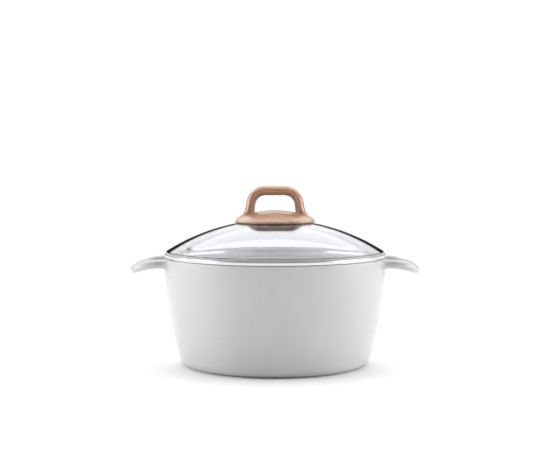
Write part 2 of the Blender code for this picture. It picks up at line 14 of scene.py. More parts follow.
import bmesh
import bpy
import numpy as np
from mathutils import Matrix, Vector


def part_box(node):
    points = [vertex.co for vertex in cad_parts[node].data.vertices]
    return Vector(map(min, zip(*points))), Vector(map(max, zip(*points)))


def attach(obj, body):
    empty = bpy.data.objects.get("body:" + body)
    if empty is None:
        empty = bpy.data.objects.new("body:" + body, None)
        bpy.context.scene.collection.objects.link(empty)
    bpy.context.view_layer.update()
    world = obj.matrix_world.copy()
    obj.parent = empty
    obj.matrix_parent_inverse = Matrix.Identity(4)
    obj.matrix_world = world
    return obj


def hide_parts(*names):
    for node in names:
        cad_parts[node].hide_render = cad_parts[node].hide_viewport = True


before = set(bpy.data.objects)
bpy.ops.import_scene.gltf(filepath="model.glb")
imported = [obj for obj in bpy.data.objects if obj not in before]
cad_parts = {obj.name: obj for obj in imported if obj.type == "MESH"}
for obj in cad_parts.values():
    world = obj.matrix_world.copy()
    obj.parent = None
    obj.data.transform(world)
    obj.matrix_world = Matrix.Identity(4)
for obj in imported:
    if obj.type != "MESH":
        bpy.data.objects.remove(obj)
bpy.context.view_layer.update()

Pair = tuple[float, float]
Corner = tuple[float, float, float]
Colour = tuple[float, float, float]
Outline = list[Pair]
Socket = bpy.types.NodeSocket
Material = bpy.types.Material
Piece = bpy.types.Object

log = logging.getLogger("saucepan")

AXIS_REACH = 1e-6          # a point nearer the axis than this is on it
WELD = 1e-6                # distance at which doubled vertices are merged
GAP = 0.0003               # air left between two pieces that touch
SHARP_ANGLE = math.radians(38.0)
ROUND_STEPS = 5            # chords that stand for a small piece's rounding
FINE_STEPS = 6             # chords that stand for a large piece's rounding
TILT_ROUNDS = 30           # enough for the wall's tilt at its corner to settle
POINT_BLOCK = 20000        # points compared with a line at a time


class Body(Enum):
    """The moving bodies that a piece can ride on."""

    POT = "pot"
    LID = "lid"


class Slot(Enum):
    """Material slot names for the new pieces' finishes."""

    COATING = "white_coating"
    BASE_STEEL = "base_steel"
    POLISHED = "polished_steel"
    SILICONE = "dark_silicone"
    PALE_SILICONE = "pale_silicone"
    GLASS = "tempered_glass"
    WOOD = "wood_effect"


class Detail(Enum):
    """How many facets a turned piece has round its axis."""

    POT = 240
    LID = 224
    KNOB = 144
    SMALL = 72


class Joining(Enum):
    """The ways one solid is combined with another."""

    UNION = "UNION"
    DIFFERENCE = "DIFFERENCE"


@dataclass(frozen=True)
class Extent:
    """The box of one CAD node at rest."""

    low: Vector
    high: Vector

    @classmethod
    def of(cls, node: str) -> "Extent":
        """Return the box of the CAD node of that name."""
        return cls(*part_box(node))

    @property
    def radius(self) -> float:
        """Half the box's side along Y, which is a round piece's radius."""
        return (self.high.y - self.low.y) / 2


# ---------------------------------------------------------------------------
# Outlines: lists of (radius, height) points
# ---------------------------------------------------------------------------
def spread(low: float, high: float, count: int) -> list[float]:
    """Return count evenly spaced values from low to high."""
    return [low + (high - low) * i / (count - 1) for i in range(count)]


def arc(centre: Pair, radius: float, start: float, end: float, steps: int) -> Outline:
    """Return points along an arc, from one angle in degrees to another."""
    turns = [math.radians(a) for a in spread(start, end, steps + 1)]
    return [(centre[0] + radius * math.cos(a), centre[1] + radius * math.sin(a)) for a in turns]


def rounded(corners: list[Corner], steps: int = ROUND_STEPS) -> Outline:
    """Round off the corners of a closed outline.

    Args:
        corners: Points as (radius, height, rounding); a rounding of 0 stays sharp.
        steps: How many chords stand for each rounding.

    Returns:
        The rounded outline, still closed from its last point to its first.
    """
    points: Outline = []
    count = len(corners)
    for index, (r, z, rounding) in enumerate(corners):
        if rounding <= 0.0:
            points.append((r, z))
            continue
        at = Vector((r, z))
        before = Vector(corners[index - 1][:2]) - at
        after = Vector(corners[(index + 1) % count][:2]) - at
        half = before.angle(after) / 2
        reach = min(rounding / math.tan(half), 0.48 * before.length, 0.48 * after.length)
        actual = reach * math.tan(half)
        middle = (before.normalized() + after.normalized()).normalized()
        centre = at + middle * (actual / math.sin(half))
        first = at + before.normalized() * reach - centre
        last = at + after.normalized() * reach - centre
        for step in range(steps + 1):
            spoke = first.slerp(last, step / steps) if first.length > WELD / 10 else first
            points.append(tuple(centre + spoke.normalized() * actual))
    return points


# ---------------------------------------------------------------------------
# Meshes
# ---------------------------------------------------------------------------
def new_piece(name: str, vertices: list, faces: list) -> Piece:
    """Make an object in the scene from vertices and faces, with faces outwards.

    Args:
        name: The object's name.
        vertices: Its points.
        faces: Its faces as lists of point numbers.

    Returns:
        The new object, smooth except at sharp edges.
    """
    mesh = bpy.data.meshes.new(name)
    mesh.from_pydata(vertices, [], faces)
    piece = bpy.data.objects.new(name, mesh)
    bpy.context.scene.collection.objects.link(piece)
    tidy(piece)
    return piece


def tidy(piece: Piece) -> None:
    """Weld doubled points, turn faces outwards and shade the piece smooth.

    Args:
        piece: The object whose mesh is tidied.
    """
    shape = bmesh.new()
    shape.from_mesh(piece.data)
    bmesh.ops.remove_doubles(shape, verts=shape.verts, dist=WELD)
    bmesh.ops.dissolve_degenerate(shape, edges=shape.edges, dist=WELD)
    bmesh.ops.recalc_face_normals(shape, faces=shape.faces)
    shape.to_mesh(piece.data)
    shape.free()
    piece.data.shade_smooth()
    piece.data.set_sharp_from_angle(angle=SHARP_ANGLE)


def turned(name: str, outline: Outline, detail: Detail, ring: bool = False) -> Piece:
    """Turn an outline about Z into a closed solid.

    Args:
        name: The object's name.
        outline: Points as (radius, height).  Unless it is a ring it runs from axis to axis.
        detail: How many facets there are round the axis.
        ring: True if the outline closes on itself clear of the axis.

    Returns:
        The turned object.
    """
    steps = detail.value
    vertices: list[tuple[float, float, float]] = []
    hoops: list[list[int]] = []
    for r, z in outline:
        first = len(vertices)
        if r < AXIS_REACH:
            vertices.append((0.0, 0.0, z))
            hoops.append([first])
            continue
        turns = [2 * math.pi * i / steps for i in range(steps)]
        vertices += [(r * math.cos(a), r * math.sin(a), z) for a in turns]
        hoops.append(list(range(first, first + steps)))
    faces: list[tuple[int, ...]] = []
    following = hoops[1:] + (hoops[:1] if ring else [])
    for upper, lower in zip(hoops, following):
        if len(upper) == 1 and len(lower) == 1:
            continue
        for i in range(steps):
            j = (i + 1) % steps
            if len(upper) == 1:
                faces.append((upper[0], lower[i], lower[j]))
            elif len(lower) == 1:
                faces.append((upper[i], lower[0], upper[j]))
            else:
                faces.append((upper[i], lower[i], lower[j], upper[j]))
    return new_piece(name, vertices, faces)


def turned_ring(name: str, corners: list[Corner], detail: Detail,
                steps: int = ROUND_STEPS) -> Piece:
    """Turn an outline with rounded corners into a ring clear of the axis."""
    return turned(name, rounded(corners, steps), detail, ring=True)


def plug(name: str, radius: float, low: float, high: float) -> Piece:
    """Turn a plain plug on the axis, to cut a round hole from low to high."""
    outline = [(0.0, high), (radius, high), (radius, low), (0.0, low)]
    return turned(name, outline, Detail.SMALL)


def lofted(name: str, hoops: np.ndarray) -> Piece:
    """Skin a row of hoops into a closed solid with a fan at each end.

    Args:
        name: The object's name.
        hoops: Points as an array of shape (hoops, points in a hoop, 3).

    Returns:
        The lofted object.
    """
    rows, around, _ = hoops.shape
    vertices = [tuple(p) for p in hoops.reshape(-1, 3)]
    faces: list[tuple[int, ...]] = []
    for row in range(rows - 1):
        for i in range(around):
            j = (i + 1) % around
            faces.append((row * around + i, row * around + j,
                          (row + 1) * around + j, (row + 1) * around + i))
    for row in (0, rows - 1):
        centre, first = len(vertices), row * around
        vertices.append(tuple(hoops[row].mean(axis=0)))
        faces += [(centre, first + i, first + (i + 1) % around) for i in range(around)]
    return new_piece(name, vertices, faces)


def squarish_hoop(count: int, power: float) -> np.ndarray:
    """Return a unit superellipse's points as (across, up) pairs.

    Args:
        count: How many points there are.
        power: 2 gives a circle, and more gives flatter sides.

    Returns:
        An array of shape (count, 2).
    """
    turns = np.linspace(0.0, 2 * math.pi, count, endpoint=False)
    circle = np.stack([np.cos(turns), np.sin(turns)], axis=1)
    return np.sign(circle) * np.abs(circle) ** (2.0 / power)


def headings(line: np.ndarray) -> np.ndarray:
    """Return a line's unit direction at each of its points."""
    ways = np.gradient(line, axis=0)
    return ways / np.linalg.norm(ways, axis=1, keepdims=True)


def settle(piece: Piece) -> None:
    """Apply a piece's modifiers, so that it is a plain mesh.

    Args:
        piece: The object whose modifiers are applied and removed.
    """
    bpy.context.view_layer.update()
    graph = bpy.context.evaluated_depsgraph_get()
    done = bpy.data.meshes.new_from_object(piece.evaluated_get(graph))
    old = piece.data
    piece.modifiers.clear()
    piece.data = done
    done.name = piece.name
    bpy.data.meshes.remove(old)


def join_solid(piece: Piece, tool: Piece, joining: Joining) -> None:
    """Combine a tool with a piece for good and delete the tool.

    Args:
        piece: The solid that is kept.
        tool: The solid that is joined or cut away.
        joining: Which of the two it is.
    """
    boolean = piece.modifiers.new(joining.value.lower(), "BOOLEAN")
    boolean.operation = joining.value
    boolean.solver = "EXACT"
    boolean.object = tool
    settle(piece)
    bpy.data.objects.remove(tool, do_unlink=True)


def points_of(piece: Piece) -> np.ndarray:
    """Read a piece's vertices.

    Args:
        piece: The object that is read.

    Returns:
        The vertices as an array of shape (count, 3).
    """
    flat = np.empty(len(piece.data.vertices) * 3, np.float32)
    piece.data.vertices.foreach_get("co", flat)
    return flat.reshape(-1, 3).astype(float)


def move_points(piece: Piece, places: np.ndarray) -> None:
    """Put a piece's vertices at new places."""
    piece.data.vertices.foreach_set("co", places.astype(np.float32).ravel())
    piece.data.update()


def smooth_step(values: np.ndarray) -> np.ndarray:
    """Ease values from 0 to 1, held at both ends."""
    held = np.clip(values, 0.0, 1.0)
    return held * held * (3.0 - 2.0 * held)


def coat(piece: Piece, material: Material) -> None:
    """Give a piece one material and no other."""
    piece.data.materials.clear()
    piece.data.materials.append(material)


def hand_over(piece: Piece, material: Material, body: Body, slot: Slot, *nodes: str) -> Piece:
    """Give a finished piece its material and its body, and hide the CAD nodes it replaces.

    Args:
        piece: The finished piece.
        material: Its finish.
        body: The body it rides on.
        slot: Not used.
        *nodes: The CAD nodes that it replaces.

    Returns:
        The same piece.
    """
    coat(piece, material)
    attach(piece, body.value)
    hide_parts(*nodes)
    log.info("%s: %d faces on %s", piece.name, len(piece.data.polygons), body.value)
    return piece


# ---------------------------------------------------------------------------
# Finishes
# ---------------------------------------------------------------------------
def shaded(colour: Colour, factor: float) -> Colour:
    """Return a colour with every part multiplied."""
    return tuple(factor * part for part in colour)


def math_node(tree: bpy.types.NodeTree, operation: str, *values: Socket | float) -> Socket:
    """Add one sum to a node tree.

    Args:
        tree: The tree that it is added to.
        operation: The sum's name.
        *values: Its terms, each a socket or a number.

    Returns:
        The result.
    """
    node = tree.nodes.new("ShaderNodeMath")
    node.operation = operation
    for slot, value in zip(node.inputs, values):
        if isinstance(value, Socket):
            tree.links.new(value, slot)
        else:
            slot.default_value = value
    return node.outputs["Value"]


class Graph:
    """One material's nodes, laid out around a Principled shader."""

    def __init__(self, name: str) -> None:
        """Make the material with a Principled shader on its output.

        Args:
            name: The material's name.
        """
        self.material = bpy.data.materials.new(name)
        self.material.use_nodes = True
        self.tree = self.material.node_tree
        self.shader = self.tree.nodes["Principled BSDF"]
        self.output = self.tree.nodes["Material Output"]

    def add(self, kind: str, **settings: object) -> bpy.types.Node:
        """Add a node.

        Args:
            kind: Its kind, without the leading ShaderNode.
            **settings: Its own settings.

        Returns:
            The node.
        """
        node = self.tree.nodes.new("ShaderNode" + kind)
        for key, value in settings.items():
            setattr(node, key, value)
        return node

    def join(self, source: Socket, target: Socket) -> None:
        """Link two sockets."""
        self.tree.links.new(source, target)

    def fixed(self, **values: object) -> None:
        """Set constants on the shader's own sockets; a name's underscores stand for spaces."""
        for key, value in values.items():
            self.shader.inputs[key.replace("_", " ")].default_value = value

    def sums(self, operation: str, *values: Socket | float) -> Socket:
        """Return the result of one sum."""
        return math_node(self.tree, operation, *values)

    def place(self, scale: Corner = (1.0, 1.0, 1.0), attribute: str = "") -> Socket:
        """Read coordinates in metres and stretch them.

        Args:
            scale: How much each axis is multiplied.
            attribute: A stored vector to read instead of the object's own coordinates.

        Returns:
            The stretched vector.
        """
        if attribute:
            source = self.add("Attribute", attribute_name=attribute).outputs["Vector"]
        else:
            source = self.add("TexCoord").outputs["Object"]
        mapping = self.add("Mapping")
        mapping.inputs["Scale"].default_value = scale
        self.join(source, mapping.inputs["Vector"])
        return mapping.outputs["Vector"]

    def split(self, vector: Socket) -> bpy.types.NodeOutputs:
        """Take a vector apart.

        Args:
            vector: The vector.

        Returns:
            Its parts, by the names X, Y and Z.
        """
        node = self.add("SeparateXYZ")
        self.join(vector, node.inputs[0])
        return node.outputs

    def around_axis(self, fine: float, along: float, up: float) -> Socket:
        """Make coordinates that follow circles round Z.

        Args:
            fine: Scale of the distance from the axis.
            along: Scale of the way round, as a unit circle's point.
            up: Scale of the height.

        Returns:
            A vector of stretched radius, direction and height.
        """
        flat = self.place((1.0, 1.0, 0.0))
        length = self.add("VectorMath", operation="LENGTH")
        self.join(flat, length.inputs[0])
        unit = self.add("VectorMath", operation="NORMALIZE")
        self.join(flat, unit.inputs[0])
        ways = self.split(unit.outputs["Vector"])
        height = self.split(self.place((1.0, 1.0, up)))["Z"]
        radius = self.sums("MULTIPLY", length.outputs["Value"], fine)
        joined = self.add("CombineXYZ")
        self.join(self.sums("ADD", radius, height), joined.inputs["X"])
        self.join(self.sums("MULTIPLY", ways["X"], along), joined.inputs["Y"])
        self.join(self.sums("MULTIPLY", ways["Y"], along), joined.inputs["Z"])
        return joined.outputs["Vector"]

    def noise(self, vector: Socket, scale: float, octaves: float = 4.0, rough: float = 0.5,
              warp: float = 0.0) -> Socket:
        """Make a noise value.

        Args:
            vector: Where it is read.
            scale: Features to the metre, times the vector's own scale.
            octaves: How many finer layers there are.
            rough: How strong the finer layers are.
            warp: How far the pattern is pushed about.

        Returns:
            The value, mostly between 0.3 and 0.7.
        """
        node = self.add("TexNoise")
        values = {"Scale": scale, "Detail": octaves, "Roughness": rough, "Distortion": warp}
        for key, number in values.items():
            node.inputs[key].default_value = number
        self.join(vector, node.inputs["Vector"])
        return node.outputs["Fac"]

    def between(self, value: Socket, low: float, high: float, start: float = 0.3,
                end: float = 0.7) -> Socket:
        """Move a value from one range to another.

        Args:
            value: The value.
            low: What the start becomes.
            high: What the end becomes.
            start: Where its own range starts.
            end: Where its own range ends.

        Returns:
            The moved value, held at both ends.
        """
        node = self.add("MapRange")
        values = {"From Min": start, "From Max": end, "To Min": low, "To Max": high}
        for key, number in values.items():
            node.inputs[key].default_value = number
        self.join(value, node.inputs["Value"])
        return node.outputs["Result"]

    def ramp(self, value: Socket, *stops: tuple[float, Colour]) -> Socket:
        """Turn a value into a colour.

        Args:
            value: The value, from 0 to 1.
            *stops: Places on the ramp and their colours.

        Returns:
            The colour.
        """
        node = self.add("ValToRGB")
        band = node.color_ramp
        while len(band.elements) < len(stops):
            band.elements.new(0.5)
        for element, (position, colour) in zip(band.elements, stops):
            element.position = position
            element.color = (*colour, 1.0)
        self.join(value, node.inputs["Fac"])
        return node.outputs["Color"]

    def two_tone(self, noise: Socket, low: Colour, high: Colour) -> Socket:
        """Return a colour that a noise value moves between two others."""
        return self.ramp(self.between(noise, 0.0, 1.0), (0.0, low), (1.0, high))

    def over(self, amount: Socket, under: Socket, colour: Colour) -> Socket:
        """Lay one colour over another.

        Args:
            amount: How much of it is laid, from 0 to 1.
            under: The colour below.
            colour: The colour on top.

        Returns:
            The mixed colour.
        """
        node = self.add("Mix", data_type="RGBA")
        self.join(amount, node.inputs["Factor"])
        self.join(under, node.inputs[6])
        node.inputs[7].default_value = (*colour, 1.0)
        return node.outputs[2]

    def bump(self, height: Socket, depth: float, strength: float = 1.0,
             under: Socket | None = None) -> Socket:
        """Bend the normal by a height.

        Args:
            height: The height, from 0 to 1.
            depth: What a height of 1 stands for, in metres.
            strength: How much of it is used.
            under: Another bump below this one.

        Returns:
            The bent normal.
        """
        node = self.add("Bump")
        node.inputs["Distance"].default_value = depth
        node.inputs["Strength"].default_value = strength
        self.join(height, node.inputs["Height"])
        if under is not None:
            self.join(under, node.inputs["Normal"])
        return node.outputs["Normal"]

    def dress(self, colour: Socket, roughness: Socket | None = None,
              normal: Socket | None = None) -> None:
        """Link what varies over the surface to the shader.

        Args:
            colour: The base colour.
            roughness: The roughness, if it varies.
            normal: The normal, if it is bent.
        """
        for source, key in ((colour, "Base Color"), (roughness, "Roughness"), (normal, "Normal")):
            if source is not None:
                self.join(source, self.shader.inputs[key])


@dataclass(frozen=True)
class CeramicCoat:
    """A sprayed satin-white coating with a faint mottle and orange peel."""

    light: Colour = (0.566, 0.561, 0.564)
    shade: Colour = (0.535, 0.529, 0.533)
    roughness: float = 0.34
    cloud_scale: float = 18.0
    speck_scale: float = 900.0
    peel_scale: float = 420.0
    peel_depth: float = 0.00004
    gloss: float = 0.2
    gloss_roughness: float = 0.16

    def make(self) -> Material:
        """Build the coating's nodes.

        Returns:
            The material.
        """
        graph = Graph("ceramic_coat")
        where = graph.place()
        cloud = graph.noise(where, self.cloud_scale, 5.0, 0.55)
        speck = graph.noise(where, self.speck_scale, 2.0, 0.6)
        fleck = graph.between(speck, 0.0, 0.05, 0.52, 0.75)
        colour = graph.over(fleck, graph.two_tone(cloud, self.shade, self.light), self.shade)
        worn = graph.between(cloud, self.roughness - 0.04, self.roughness + 0.05)
        peel = graph.bump(graph.noise(where, self.peel_scale, 3.0, 0.5), self.peel_depth, 0.5)
        graph.dress(colour, worn, graph.bump(speck, self.peel_depth / 3, 0.35, peel))
        graph.fixed(IOR=1.5, Coat_Weight=self.gloss, Coat_Roughness=self.gloss_roughness)
        return graph.material


@dataclass(frozen=True)
class PolishedSteel:
    """Bright steel with fine scratches that run round the axis."""

    name: str
    colour: Colour
    roughness: float
    smear_scale: float = 55.0
    scratch_scale: float = 2600.0
    scratch_stretch: float = 6.0
    scratch_depth: float = 0.000012

    def make(self) -> Material:
        """Build the steel's nodes.

        Returns:
            The material.
        """
        graph = Graph(self.name)
        rings = graph.around_axis(self.scratch_scale, self.scratch_stretch, self.scratch_scale)
        line = graph.noise(rings, 1.0, 4.0, 0.6)
        smear = graph.noise(graph.place(), self.smear_scale, 4.0, 0.6)
        colour = graph.two_tone(smear, shaded(self.colour, 0.86), self.colour)
        rough = graph.between(smear, self.roughness - 0.03, self.roughness + 0.08)
        graph.dress(colour, rough, graph.bump(line, self.scratch_depth, 0.5))
        graph.fixed(Metallic=1.0, Anisotropic=0.25)
        return graph.material


@dataclass(frozen=True)
class BaseSteel:
    """Stainless sheet, ground in rings, with dull aluminium down in its holes."""

    bright: Colour = (0.52, 0.52, 0.53)
    dark: Colour = (0.40, 0.40, 0.41)
    hole: Colour = (0.30, 0.30, 0.31)
    hole_height: float = 0.00012
    line_scale: float = 3200.0
    line_depth: float = 0.00003
    broad_scale: float = 160.0

    def make(self) -> Material:
        """Build the steel's nodes.

        Returns:
            The material.
        """
        graph = Graph("base_steel")
        line = graph.noise(graph.around_axis(self.line_scale, 5.0, 0.0), 1.0, 5.0, 0.65)
        broad = graph.noise(graph.around_axis(self.broad_scale, 2.0, 0.0), 1.0, 3.0, 0.5)
        height = graph.split(graph.place())["Z"]
        sunk = graph.between(height, 0.0, 1.0, self.hole_height, 2 * self.hole_height)
        colour = graph.over(sunk, graph.two_tone(line, self.dark, self.bright), self.hole)
        rough = graph.between(broad, 0.26, 0.42)
        graph.dress(colour, rough, graph.bump(line, self.line_depth, 0.6))
        graph.fixed(Metallic=1.0, Anisotropic=0.5)
        return graph.material


@dataclass(frozen=True)
class ClearGlass:
    """Tempered glass, clear face on and cooler and deeper along its length, partly from the longer
    path through it and partly as painted shade.
    """

    face_on: Colour = (0.930, 0.932, 0.945)
    # edge-on tint: partly the longer path through the glass, partly painted shade
    along: Colour = (0.715, 0.718, 0.755)
    shadow: Colour = (0.80, 0.80, 0.82)
    slant: Pair = (0.25, 0.55)
    ripple_scale: float = 30.0
    ripple_depth: float = 0.000004
    smudge_scale: float = 70.0
    index: float = 1.52

    def make(self) -> Material:
        """Build the glass's nodes; its shadow is that of a pale clear sheet.

        Returns:
            The material.
        """
        graph = Graph("clear_glass")
        where = graph.place()
        ripple = graph.noise(where, self.ripple_scale, 2.0, 0.4)
        smudge = graph.noise(where, self.smudge_scale, 4.0, 0.6)
        # Painted shade: seen edge-on the glass takes the darker, cooler tint, more than its longer
        # path alone would give.
        edge_on_shade = graph.between(graph.add("LayerWeight").outputs["Facing"], 0.0, 1.0, *self.slant)
        tint = graph.ramp(edge_on_shade, (0.0, self.face_on), (1.0, self.along))
        rough = graph.between(smudge, 0.0, 0.03, 0.45, 0.75)
        graph.dress(tint, rough, graph.bump(ripple, self.ripple_depth, 0.5))
        graph.fixed(Transmission_Weight=1.0, IOR=self.index)
        clear = graph.add("BsdfTransparent")
        clear.inputs["Color"].default_value = (*self.shadow, 1.0)
        mix = graph.add("MixShader")
        sources = (graph.add("LightPath").outputs["Is Shadow Ray"], graph.shader.outputs[0],
                   clear.outputs[0])
        for source, target in zip(sources, mix.inputs):
            graph.join(source, target)
        graph.join(mix.outputs[0], graph.output.inputs["Surface"])
        return graph.material


@dataclass(frozen=True)
class WoodEffect:
    """A moulding printed with fine beech grain under a satin lacquer."""

    light: Colour = (0.56, 0.318, 0.190)
    middle: Colour = (0.43, 0.212, 0.113)
    dark: Colour = (0.25, 0.106, 0.050)
    pore: Colour = (0.16, 0.068, 0.035)
    # painted shade: a darker brown laid on the bridge's inner side and underside, where shade
    # falls
    painted_shade: Colour = (0.20, 0.085, 0.040)
    broad_scale: Corner = (14.0, 110.0, 110.0)
    fine_scale: Corner = (60.0, 900.0, 900.0)
    pore_scale: Corner = (220.0, 2600.0, 2600.0)
    broad_share: float = 0.6
    painted_shade_span: Pair = (-0.0055, -0.0010)
    ridge_depth: float = 0.00006
    pore_depth: float = 0.00005
    lacquer: float = 0.8
    lacquer_roughness: float = 0.25
    grain_attribute: str = "grain_way"

    def make(self) -> Material:
        """Build the grain's nodes, with painted shade that darkens the bridge's inner side and
        underside.

        Returns:
            The material.
        """
        graph = Graph("wood_effect")
        way = self.grain_attribute
        broad = graph.noise(graph.place(self.broad_scale, way), 1.0, 3.0, 0.5, 0.6)
        fine = graph.noise(graph.place(self.fine_scale, way), 1.0, 5.0, 0.65, 0.3)
        pores = graph.noise(graph.place(self.pore_scale, way), 1.0, 2.0, 0.5)
        mixed = graph.sums("ADD", graph.sums("MULTIPLY", broad, self.broad_share),
                           graph.sums("MULTIPLY", fine, 1.0 - self.broad_share))
        tone = graph.between(mixed, 0.0, 1.0, 0.39, 0.61)
        colour = graph.ramp(tone, (0.0, self.dark), (0.45, self.middle), (1.0, self.light))
        colour = graph.over(graph.between(pores, 0.0, 0.85, 0.57, 0.70), colour, self.pore)
        # Painted shade: the bridge's inner faces, under its top and inside its legs, turn darker
        # brown.
        inner = graph.split(graph.place(attribute=way))["Z"]
        colour = graph.over(graph.between(inner, 0.6, 0.0, *self.painted_shade_span), colour, self.painted_shade)
        ridges = graph.bump(fine, self.ridge_depth, 0.45)
        pits = graph.between(pores, 1.0, 0.0, 0.58, 0.72)
        graph.dress(colour, graph.between(fine, 0.36, 0.52),
                    graph.bump(pits, self.pore_depth, 0.5, ridges))
        graph.fixed(IOR=1.5, Coat_Weight=self.lacquer, Coat_Roughness=self.lacquer_roughness)
        return graph.material


@dataclass(frozen=True)
class Rubber:
    """Moulded silicone with a fine matt grain."""

    name: str
    colour: Colour
    roughness: float
    cloud_scale: float = 140.0
    grain_scale: float = 1500.0
    grain_depth: float = 0.00003

    def make(self) -> Material:
        """Build the silicone's nodes.

        Returns:
            The material.
        """
        graph = Graph(self.name)
        where = graph.place()
        cloud = graph.noise(where, self.cloud_scale, 4.0, 0.6)
        colour = graph.two_tone(cloud, self.colour, shaded(self.colour, 1.35))
        rough = graph.between(cloud, self.roughness - 0.08, self.roughness + 0.10)
        grain = graph.noise(where, self.grain_scale, 2.0)
        graph.dress(colour, rough, graph.bump(grain, self.grain_depth, 0.5))
        graph.fixed(IOR=1.41)
        return graph.material


@dataclass(frozen=True)
class PlainMetal:
    """A small turned or stamped metal part with a fine grain."""

    name: str
    colour: Colour
    roughness: float
    cloud_scale: float = 260.0
    turning_scale: float = 4200.0
    turning_depth: float = 0.00001

    def make(self) -> Material:
        """Build the metal's nodes.

        Returns:
            The material.
        """
        graph = Graph(self.name)
        cloud = graph.noise(graph.place(), self.cloud_scale, 5.0, 0.6)
        colour = graph.two_tone(cloud, shaded(self.colour, 0.72), self.colour)
        rough = graph.between(cloud, self.roughness - 0.06, self.roughness + 0.12)
        rings = graph.around_axis(self.turning_scale, 3.0, self.turning_scale)
        turning = graph.noise(rings, 1.0, 3.0)
        graph.dress(colour, rough, graph.bump(turning, self.turning_depth, 0.5))
        graph.fixed(Metallic=1.0)
        return graph.material


